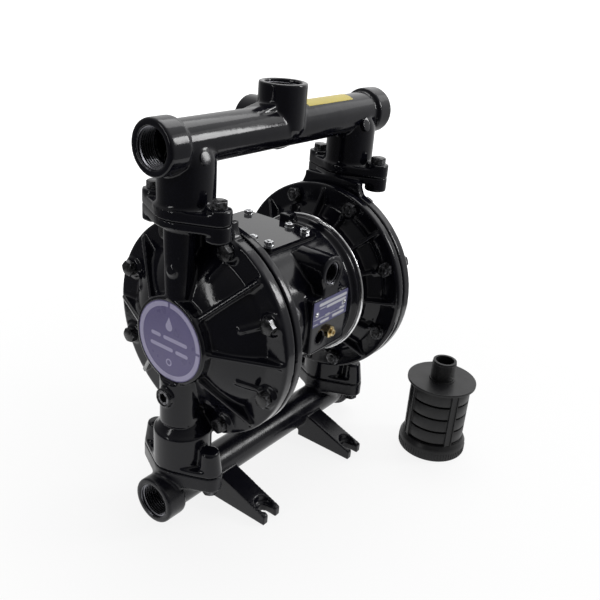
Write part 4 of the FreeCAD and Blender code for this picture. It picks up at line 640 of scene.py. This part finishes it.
def trim_cap(bm):
    """Draws the corners of a fluid cap's saddle in towards the column, and tapers its bolt posts."""
    for vert in bm.verts:
        x, y, z = (part / MM for part in vert.co)
        if SADDLE_CORNER[0] < abs(y) < SADDLE_CORNER[1] and math.hypot(y, z - AXIS_HEIGHT) > SADDLE_REACH:
            vert.co.y -= math.copysign(SADDLE_SHIFT, y) * MM
        aside = abs(x) - NECK_OFFSET
        along = abs(y) - LOBE_OFFSET
        on_post = abs(z - POST_TOP) < POST_MARGIN and math.hypot(aside, along) < POST_REACH
        if on_post and math.hypot(aside, y) > CHAMBER_REACH:
            vert.co.x = math.copysign(NECK_OFFSET + aside * POST_TAPER, x) * MM
            vert.co.y = math.copysign(LOBE_OFFSET - POST_LEAN + along * POST_TAPER, y) * MM


DISH_STEPS = ((76.0, 73.1), (82.0, 78.0))
DISH_START = 68.8
DISH_END = 78.1
DISH_MARGIN = 0.25


def even_dish(bm):
    """Makes one even slope of the two turned steps behind an air cap's hub."""
    for vert in bm.verts:
        x, y, z = (part / MM for part in vert.co)
        reach = math.hypot(y, z - AXIS_HEIGHT)
        for radius, depth in DISH_STEPS:
            if abs(reach - radius) < DISH_MARGIN and DISH_START < abs(x) < DISH_END:
                vert.co.x = math.copysign(depth, x) * MM


GASKET_EDGE = 73.5
GASKET_INSIDE = 71.0
GASKET_START = 54.8
GASKET_WIDTH = 2.9


def gasket_beads():
    """Pale edge of each gasket, squeezed out a little between the centre body and the air cap."""
    half = GASKET_WIDTH / 2
    edge = arc((GASKET_EDGE - 0.3, half), half, 270, 450, steps=8)
    section = [(GASKET_INSIDE, 0), *edge, (GASKET_INSIDE, GASKET_WIDTH)]
    bm = bmesh.new()
    for _, sign in SIDES:
        matrix = placed((sign * GASKET_START, 0, AXIS_HEIGHT), OUTWARD[sign])
        turned(bm, section, matrix, segments=96, closed=True)
    piece("gasket_beads", bm, "squeezed_edge")


casting("top_manifold", upper_collars, voxel=1.25)
neck_pads()
casting("bottom_manifold", lower_collars, material="dusty_casting")
for side, sign in SIDES:
    casting(f"fluid_cap_{side}", cap_extras(sign), voxel=1.3, draw_in=trim_cap)
    casting(f"air_cap_{side}", voxel=1.0, passes=8, draw_in=even_dish)
casting("centre_body", passes=2)
gasket_beads()


# Fasteners; their spins are plain angles in degrees, so that no two heads stand alike

BOLT_FLATS = 13.0
BOLT_RADIUS = 3.95
NUT_BORE = 4.0
WASHER_BORE = 4.2
WASHER_HEIGHT = 1.1
BOLT_HEAD_TOP = 6.6
FLANGE_WASHER = 7.4
RIM_WASHER = 6.7
RIM_BOLT_LENGTH = 33.0
RIM_NUT_HEIGHT = 6.4
UPPER_BOLT_LENGTH = 21.0
LOWER_BOLT_LENGTH = 26.0
UPPER_BOLT_SEAT = UPPER_JOINT + 13.2
LOWER_BOLT_SEAT = LOWER_JOINT - 15.0
ROUND_STEPS = 32


def rim_places():
    """Angle, Y and Z of each rim bolt."""
    for number in range(RIM_BOLTS):
        angle = math.radians((number + 0.5) * 360 / RIM_BOLTS)
        y = RIM_BOLT_CIRCLE * math.sin(angle)
        z = AXIS_HEIGHT + RIM_BOLT_CIRCLE * math.cos(angle)
        yield math.degrees(angle), y, z


def bolt(bm, place, aim, length, spin, washer=FLANGE_WASHER):
    """Hexagon bolt: washer, chamfered head and shank, its seat at the place."""
    matrix = placed(place, aim, spin)
    plate = [
        (WASHER_BORE, 0), (washer - 0.1, 0), (washer, 0.3), (washer - 0.2, WASHER_HEIGHT),
        (WASHER_BORE, WASHER_HEIGHT)]
    turned(bm, plate, matrix, ROUND_STEPS, closed=True)
    hexagon(bm, BOLT_FLATS, WASHER_HEIGHT, BOLT_HEAD_TOP, matrix)
    shank = [(0, -length), (3.3, -length), (BOLT_RADIUS, -length + 0.8), (BOLT_RADIUS, 1.5), (0, 1.5)]
    turned(bm, shank, matrix, ROUND_STEPS)


def rim_fasteners():
    """Eight bolts and nuts round each chamber."""
    for side, sign in SIDES:
        aim = OUTWARD[sign]
        heads = bmesh.new()
        nuts = bmesh.new()
        for angle, y, z in rim_places():
            bolt(heads, (sign * (LUG_FACE - 0.8), y, z), aim, RIM_BOLT_LENGTH, angle * 7, RIM_WASHER)
            nut = placed((sign * RIM_NUT_FACE, y, z), aim, angle * 5)
            hexagon(nuts, BOLT_FLATS, 0, RIM_NUT_HEIGHT, nut, NUT_BORE)
        piece(f"rim_bolt_set_{side}", heads, "black_steel", replaced=(f"rim_bolts_{side}",))
        piece(f"rim_nut_set_{side}", nuts, "black_steel", replaced=(f"rim_nuts_{side}",))


def flange_fasteners():
    """Two bolts in each oval flange, from above at the outlet and from below at the inlet."""
    upper = bmesh.new()
    lower = bmesh.new()
    for _, sign in SIDES:
        for index, y in enumerate((-LOBE_OFFSET, LOBE_OFFSET)):
            x = sign * NECK_OFFSET
            spin = 20 + 35 * index + 11 * sign
            bolt(upper, (x, y, UPPER_BOLT_SEAT), "+Z", UPPER_BOLT_LENGTH, spin)
            bolt(lower, (x, y, LOWER_BOLT_SEAT), "-Z", LOWER_BOLT_LENGTH, spin + 13)
    piece("upper_flange_bolts", upper, "black_steel", replaced=("top_manifold_bolts",))
    piece("lower_flange_bolts", lower, "black_steel", replaced=("bottom_manifold_bolts",))


COVER_TOP = 257.0
STUD_ASIDE = 27.5
STUD_ROWS = (-17.0, 2.3, 56.0)
STUD = [(0, 243.3), (2.4, 243.3), (2.4, 261.2), (1.8, 261.9), (0, 262.0)]
STUD_THREAD_START = 259.2
STUD_THREAD_RADIUS = 2.25
STUD_THREAD_PITCH = 0.8
STUD_THREAD_LENGTH = 2.4
STUD_THREAD_DEPTH = 0.25
STUD_STEPS = 24
STUD_WASHER_TOP = COVER_TOP + 0.6
STUD_WASHER = [
    (2.6, COVER_TOP), (4.7, COVER_TOP), (4.8, COVER_TOP + 0.3), (4.6, STUD_WASHER_TOP),
    (2.6, STUD_WASHER_TOP)]
COVER_NUT_TOP = COVER_TOP + 3.9
COVER_NUT_FLATS = 8.0
COVER_NUT_BORE = 2.5


def cover_fasteners():
    """Six studs with washers and chamfered nuts on the valve cover."""
    studs = bmesh.new()
    nuts = bmesh.new()
    for sign in (-1, 1):
        for index, y in enumerate(STUD_ROWS):
            x = sign * STUD_ASIDE
            lathe(studs, STUD, (x, y, 0), segments=STUD_STEPS)
            start = placed((x, y, STUD_THREAD_START))
            thread(
                studs, STUD_THREAD_RADIUS, STUD_THREAD_PITCH, STUD_THREAD_LENGTH, STUD_THREAD_DEPTH, start,
                inside=False, segments=STUD_STEPS)
            turned(nuts, STUD_WASHER, placed((x, y, 0)), ROUND_STEPS, closed=True)
            nut = placed((x, y, 0), "+Z", 17 * index + 23 * sign)
            hexagon(nuts, COVER_NUT_FLATS, STUD_WASHER_TOP, COVER_NUT_TOP, nut, COVER_NUT_BORE)
    piece("cover_stud_set", studs, "bright_zinc", replaced=("valve_cover_studs",))
    piece("cover_nut_set", nuts, "bright_zinc", replaced=("valve_cover_nuts",))


RIVET_ASIDE = 22.5
RIVET = [(0, -3.0), (1.0, -3.0), (1.0, 0), (2.0, 0), (2.0, 0.35), (1.6, 0.95), (0.9, 1.35), (0, 1.4)]
FITTING_FLATS = 11.0
FITTING_HEAD = 4.0
FITTING_SPIN = 12
FITTING_NOSE = [
    (0, -9.0), (3.4, -9.0), (3.4, 3.0), (3.9, 4.0), (3.9, 4.7), (2.9, 5.0), (2.9, 5.7), (3.4, 6.0),
    (3.1, 6.5), (1.7, 6.5), (1.4, 5.0), (0, 5.0)]


def front_fittings():
    """Drive rivets of the rating plate, and the brass fitting under it."""
    rivets = bmesh.new()
    for sign in (-1, 1):
        place = (sign * RIVET_ASIDE, -PAD_FACE - PLATE_THICKNESS, PLATE_MIDDLE)
        lathe(rivets, RIVET, place, "-Y", segments=32)
    piece("plate_rivet_set", rivets, "bright_zinc", replaced=("plate_rivets",))
    fitting = bmesh.new()
    place = (0, -PAD_FACE, FITTING_HEIGHT)
    hexagon(fitting, FITTING_FLATS, 0, FITTING_HEAD, placed(place, "-Y", FITTING_SPIN))
    lathe(fitting, FITTING_NOSE, place, "-Y", segments=40)
    piece("brass_fitting_turned", fitting, "brass", replaced=("brass_fitting",))


rim_fasteners()
flange_fasteners()
cover_fasteners()
front_fittings()


# Pipe threads

COARSE_PITCH = 2.309
FINE_PITCH = 1.814
PORT_THREAD_LENGTH = 17.5
PORT_THREAD_DEPTH = 1.25
SIDE_THREAD = SIDE_PORT_FACE - 1.1
# Start and direction of each liquid port's thread
THREADED_PORTS = (
    ((SIDE_THREAD, 0, TOP_AXIS), "-X"),
    ((SIDE_THREAD, 0, BOTTOM_AXIS), "-X"),
    ((-SIDE_THREAD, 0, TOP_AXIS), "+X"),
    ((-SIDE_THREAD, 0, BOTTOM_AXIS), "+X"),
    ((0, 0, TOP_PORT_FACE - 1.6), "-Z"),
    ((0, REAR_PORT_FACE - 1.6, TOP_AXIS), "-Y"))
AIR_THREAD_BEHIND = 1.4
AIR_THREAD_DEPTH = 1.0
AIR_INLET_LENGTH = 15.0
AIR_EXHAUST_LENGTH = 13.5
NIPPLE_THREAD_START = 89.6
NIPPLE_THREAD_LENGTH = 19.0
NIPPLE_THREAD_DEPTH = 0.5


def pipe_threads():
    """Threads of the six liquid ports and the two air ports."""
    bm = bmesh.new()
    for place, aim in THREADED_PORTS:
        thread(bm, PORT_BORE, COARSE_PITCH, PORT_THREAD_LENGTH, PORT_THREAD_DEPTH, placed(place, aim))
    inlet = placed((0, AIR_THREAD_BEHIND - PAD_FACE, INLET_HEIGHT), "+Y")
    thread(bm, INLET_BORE, FINE_PITCH, AIR_INLET_LENGTH, AIR_THREAD_DEPTH, inlet)
    exhaust = placed((0, EXHAUST_FACE - AIR_THREAD_BEHIND, EXHAUST_HEIGHT), "-Y")
    thread(bm, EXHAUST_BORE, FINE_PITCH, AIR_EXHAUST_LENGTH, AIR_THREAD_DEPTH, exhaust)
    piece("pipe_threads", bm, "cut_thread")


def nipple_thread():
    """Thread round the silencer's nipple."""
    bm = bmesh.new()
    start = placed((*SILENCER, NIPPLE_THREAD_START))
    thread(bm, NIPPLE_RADIUS, FINE_PITCH, NIPPLE_THREAD_LENGTH, NIPPLE_THREAD_DEPTH, start, inside=False)
    piece("nipple_thread", bm, "black_plastic")


pipe_threads()
nipple_thread()


# Labels and plates, without words or signs

PRINT_LOW = -0.05
PRINT_LIFT = 0.06
PLATE_PRINT_LIFT = 0.05
LABEL_FACE = HUB_FACE - 0.2
LABEL_RING = (32.3, 36.6)
LABEL_ROWS = ((2.5, (12, 29)), (-7.5, (28, 15)))
LABEL_BAR = 3.6
LABEL_BAR_GAP = 3.0
LABEL_DROP_HEIGHT = 14.0
LABEL_DROP_SIZE = 4.0
DROP_POINT = 2.3
LABEL_MARK = (2.2, 3.5)
LABEL_MARK_DROP = 20.5
# X, Y, length and height of each pale band, then X, Y and radius of each disc
PLATE_BANDS = (
    (3.3, 8.1, 44.5, 3.2), (8.8, 3.6, 32.0, 2.8), (-13.0, 4.2, 9.0, 0.8), (19.3, -4.9, 9.0, 2.6),
    (-6.0, -5.4, 40.0, 0.6), (-4.8, -5.2, 8.0, 2.6), (-8.5, -9.6, 14.0, 2.6), (13.4, -9.2, 19.6, 2.8),
    (-22.4, -10.4, 7.0, 0.9))
PLATE_DISCS = ((-21.0, -0.6, 2.6), (20.4, -0.6, 2.2))
PLATE_DISC_HOLE = 0.6


def ring_part(bm, inner, outer, start, end, lift, matrix, steps=48):
    """Printed part of a ring between two angles in degrees."""
    rings = []
    for step in range(steps + 1):
        angle = math.radians(start + (end - start) * step / steps)
        section = ((inner, PRINT_LOW), (outer, PRINT_LOW), (outer, lift), (inner, lift))
        rings.append([
            (reach * math.cos(angle), reach * math.sin(angle), height) for reach, height in section])
    rows = skin(bm, rings, matrix)
    bm.faces.new(rows[0])
    bm.faces.new(rows[-1])


def bar(bm, x, y, length, height, lift, matrix):
    """Printed bar with round ends."""
    half = length / 2 - height / 2
    outline = arc((x + half, y), height / 2, -90, 90) + arc((x - half, y), height / 2, 90, 270)
    prism(bm, outline, PRINT_LOW, lift, matrix)


def drop_symbol(bm, y, size, matrix):
    """Plain drop: a round bottom that narrows to a point."""
    outline = [*arc((0, y), size, -215, 35, steps=18), (0, y + DROP_POINT * size)]
    prism(bm, outline, PRINT_LOW, PRINT_LIFT, matrix)


def label_print(side, sign):
    """Lilac ring with two gaps, with a plain drop, bars and a small ring in it."""
    bm = bmesh.new()
    face = placed((sign * LABEL_FACE, 0, AXIS_HEIGHT), OUTWARD[sign], 90 * sign)
    ring_part(bm, *LABEL_RING, 2, 88, PRINT_LIFT, face)
    ring_part(bm, *LABEL_RING, 92, 358, PRINT_LIFT, face, steps=120)
    drop_symbol(bm, LABEL_DROP_HEIGHT, LABEL_DROP_SIZE, face)
    for y, lengths in LABEL_ROWS:
        left = -(sum(lengths) + LABEL_BAR_GAP * (len(lengths) - 1)) / 2
        for length in lengths:
            bar(bm, left + length / 2, y, length, LABEL_BAR, PRINT_LIFT, face)
            left += length + LABEL_BAR_GAP
    mark = placed((sign * LABEL_FACE, 0, AXIS_HEIGHT - LABEL_MARK_DROP), OUTWARD[sign], 90 * sign)
    ring_part(bm, *LABEL_MARK, 0, 360, PRINT_LIFT, mark, steps=32)
    piece(f"label_print_{side}", bm, "lilac_print")


def plate_print():
    """Pale bands and two small discs of the rating plate."""
    bm = bmesh.new()
    depth = -PAD_FACE - PLATE_THICKNESS
    face = placed((0, depth, PLATE_MIDDLE), "-Y")
    for x, y, length, height in PLATE_BANDS:
        bar(bm, x, y, length, height, PLATE_PRINT_LIFT, face)
    for x, y, radius in PLATE_DISCS:
        mark = placed((x, depth, PLATE_MIDDLE + y), "-Y")
        ring_part(bm, PLATE_DISC_HOLE, radius, 0, 360, PLATE_PRINT_LIFT, mark, steps=24)
    piece("plate_print", bm, "pale_print")


STRIP_START = 27.0
STRIP_END = 99.0
STRIP_ANGLES = (-25.0, 33.0)
STRIP_STEPS = 14
STRIP_BURIED = 0.3
STRIP_LIFT = 0.22


def strip_line(x, radius):
    """Points across the strip at one X and one radius about the tube's axis."""
    start, end = STRIP_ANGLES
    angles = [math.radians(start + (end - start) * step / STRIP_STEPS) for step in range(STRIP_STEPS + 1)]
    return [(x, -radius * math.sin(angle), TOP_AXIS + radius * math.cos(angle)) for angle in angles]


def yellow_strip():
    """Plain yellow film on the top of the outlet tube."""
    bm = bmesh.new()
    inner = TOP_TUBE - STRIP_BURIED
    outer = TOP_TUBE + STRIP_LIFT
    corners = ((STRIP_START, inner), (STRIP_END, inner), (STRIP_END, outer), (STRIP_START, outer))
    rows = [[bm.verts.new(Vector(point) * MM) for point in strip_line(*corner)] for corner in corners]
    for low, high in zip(rows, rows[1:] + rows[:1]):
        for index in range(STRIP_STEPS):
            bm.faces.new((low[index], low[index + 1], high[index + 1], high[index]))
    bm.faces.new([row[0] for row in rows])
    bm.faces.new([row[-1] for row in rows])
    piece("yellow_strip", bm, "yellow_film")


for side, sign in SIDES:
    label_print(side, sign)
plate_print()
yellow_strip()


# Diaphragms, which in the pump roll between its body and the moving shaft; here each is one fixed sheet


def rubber_sheet(side):
    """Diaphragm sheet in black rubber, in place of its node; its middle, which moves with the shaft in the
    pump, stays fixed here.
    """
    sheet = NODES[f"diaphragm_{side}"].data.copy()
    soft = link(bpy.data.objects.new(f"diaphragm_{side}_rubber", sheet))
    soft.data.materials.clear()
    soft.data.materials.append(MATERIALS["black_rubber"])
    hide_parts(f"diaphragm_{side}")
    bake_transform(soft)


for side, _ in SIDES:
    rubber_sheet(side)


# Nodes that stay as they are get their own finish, and the silencer its trim

OWN_FINISH = {"valve_cover": "cover_enamel"}
MOULDED_EDGE = 0.35
WELD_DISTANCE = 0.00002
EDGE_ANGLE = 40.0
KNURLS = 72
KNURL = [(36.4, -0.55), (37.5, -0.25), (37.5, 0.25), (36.4, 0.55)]
KNURL_SPAN = (1.8, 9.5)
CAGE_STRIPS = 4
CAGE_TURN = 55.6
RAIL_OFFSET = 3.7
RAIL = ((33.2, -0.8), (34.9, -0.55), (34.9, 0.55), (33.2, 0.8))
RAIL_SPAN = (19.4, 83.9)
NIPPLE_COLLAR = [
    (12.4, SILENCER_TOP), (14.4, SILENCER_TOP), (13.9, SILENCER_TOP + 1.2), (12.4, SILENCER_TOP + 1.6)]


def finish_nodes():
    """Gives every node the material of its slot."""
    slots = {name: thing.data.materials[0].name.split(".")[0] for name, thing in NODES.items()}
    for name, thing in NODES.items():
        thing.data.materials.clear()
        thing.data.materials.append(MATERIALS[OWN_FINISH.get(name, slots[name])])


def soften(name):
    """Rounds the moulded edges of a node that stays."""
    thing = NODES[name]
    weld = thing.modifiers.new("weld", "WELD")
    weld.merge_threshold = WELD_DISTANCE
    edge = thing.modifiers.new("edge", "BEVEL")
    edge.width = MOULDED_EDGE * MM
    edge.segments = 2
    edge.limit_method = "ANGLE"
    edge.angle_limit = math.radians(EDGE_ANGLE)


def silencer_trim():
    """Knurled skirt, raised edges of the strips and the thin collar of the nipple."""
    bm = bmesh.new()
    for number in range(KNURLS):
        prism(bm, KNURL, *KNURL_SPAN, placed((*SILENCER, 0), "+Z", number * 360 / KNURLS))
    for number in range(CAGE_STRIPS):
        matrix = placed((*SILENCER, 0), "+Z", CAGE_TURN + number * 360 / CAGE_STRIPS)
        for edge in (-RAIL_OFFSET, RAIL_OFFSET):
            prism(bm, [(reach, edge + aside) for reach, aside in RAIL], *RAIL_SPAN, matrix)
    lathe(bm, NIPPLE_COLLAR, (*SILENCER, 0))
    piece("silencer_trim", bm, "black_plastic")


finish_nodes()
silencer_trim()
for name in ("silencer_cage", "silencer_head", "silencer_base"):
    soften(name)


# Studio; places and sizes are in metres

FLOOR_RADIUS = 0.50
FLOOR_STEPS = 96
FADE_NEAR = 0.16
FADE_FAR = 0.46
NEAR_WHITE = 0.86
WHITE = (1.0, 1.0, 1.0)
BACKDROP_SIDE = (0.80, 0.14, 0.58)
BACKDROP_LEVEL = 1.4
BACKDROP_STOPS = (
    (0.0, 0.07), (0.2, 0.08), (0.35, 0.13), (0.5, 0.2), (0.7, 0.33), (0.85, 0.53), (0.93, 0.79), (1.0, 1.0))
# Name, place, aim, width, height, power and roll of each lamp
LAMPS = (
    ("overhead", (0.58, 0.21, 1.4), (0, 0, 0.2), 0.8, 0.8, 4.5, 0.0),
    ("camera_strip", (-1.38, 0.34, 0.74), (0, 0, 0.25), 0.16, 0.85, 3.6, 33.0),
    ("right_box", (0.91, -0.93, 0.86), (0, 0, 0.36), 0.27, 0.44, 5.2, 0.0),
    ("right_wash", (1.16, -0.67, 1.12), (0, 0, 0.25), 1.2, 0.45, 1.4, 0.0))


def camera():
    """Camera at the photograph's viewing angle."""
    made = link(bpy.data.objects.new("camera", bpy.data.cameras.new("camera")))
    right = Vector(CAMERA_RIGHT)
    up = Vector(CAMERA_UP)
    turn = Matrix((right, up, right.cross(up))).transposed()
    made.matrix_world = Matrix.Translation(Vector(CAMERA_PLACE) * MM) @ turn.to_4x4()
    made.data.sensor_width = SENSOR_WIDTH
    made.data.lens = FOCAL_PIXELS / IMAGE_SIDE * SENSOR_WIDTH
    made.data.clip_start = 0.01
    made.data.clip_end = 50.0
    bpy.context.scene.camera = made


def floor_paint():
    """Pale floor that keeps the shadow near the pump and turns into the white background farther away."""
    finish = Finish("pale_floor", (0.88, 0.88, 0.88), 0.65)
    finish.set("Specular IOR Level", 0.1)
    length = finish.node("ShaderNodeVectorMath", operation="LENGTH")
    finish.join(finish.place, length.inputs[0])
    reach = finish.math("DIVIDE", length.outputs["Value"], FADE_FAR)
    share = finish.ramp(reach, [(FADE_NEAR / FADE_FAR, NEAR_WHITE), (1.0, 1.0)])
    path = finish.node("ShaderNodeLightPath").outputs
    mirrored = finish.math("MAXIMUM", path["Is Glossy Ray"], path["Is Transmission Ray"])
    factor = finish.math("MULTIPLY", share, finish.math("MAXIMUM", path["Is Camera Ray"], mirrored))
    glow = finish.node("ShaderNodeEmission")
    mixed = finish.node("ShaderNodeMixShader")
    finish.join(factor, mixed.inputs[0])
    finish.join(finish.shader.outputs[0], mixed.inputs[1])
    finish.join(glow.outputs[0], mixed.inputs[2])
    finish.join(mixed.outputs[0], finish.tree.nodes["Material Output"].inputs["Surface"])
    return finish.material


def floor():
    """Round plain floor under the pump."""
    bm = bmesh.new()
    bmesh.ops.create_circle(bm, cap_ends=True, segments=FLOOR_STEPS, radius=FLOOR_RADIUS)
    mesh = bpy.data.meshes.new("floor")
    bm.to_mesh(mesh)
    bm.free()
    made = link(bpy.data.objects.new("floor", mesh))
    mesh.materials.append(floor_paint())


def softbox(name, place, aim, width, height, power, roll):
    """Rectangular studio light; roll turns it about its own axis."""
    data = bpy.data.lights.new(name, "AREA")
    data.shape = "RECTANGLE"
    data.size = width
    data.size_y = height
    data.energy = power
    made = link(bpy.data.objects.new(name, data))
    made.location = place
    look = (Vector(aim) - Vector(place)).to_track_quat("-Z", "Y").to_matrix()
    made.rotation_euler = (look @ Matrix.Rotation(math.radians(roll), 3, "Z")).to_euler()


def world():
    """White backdrop behind the pump, a dim room behind the camera, and plain white in the camera's view."""
    made = bpy.data.worlds.new("studio")
    made.use_nodes = True
    sky = Nodes(made.node_tree)
    facing = sky.node("ShaderNodeVectorMath", operation="DOT_PRODUCT")
    facing.inputs[1].default_value = BACKDROP_SIDE
    sky.join(sky.node("ShaderNodeTexCoord").outputs["Generated"], facing.inputs[0])
    room = sky.ramp(sky.math("MULTIPLY_ADD", facing.outputs["Value"], 0.5, 0.5), BACKDROP_STOPS)
    path = sky.node("ShaderNodeLightPath").outputs
    clear = sky.math("MAXIMUM", path["Is Camera Ray"], path["Is Transmission Ray"])
    background = sky.tree.nodes["Background"]
    sky.join(sky.mix(clear, room, WHITE), background.inputs["Color"])
    background.inputs["Strength"].default_value = BACKDROP_LEVEL
    bpy.context.scene.world = made


camera()
floor()
world()
for lamp in LAMPS:
    softbox(*lamp)
bpy.context.scene.view_settings.view_transform = "Standard"
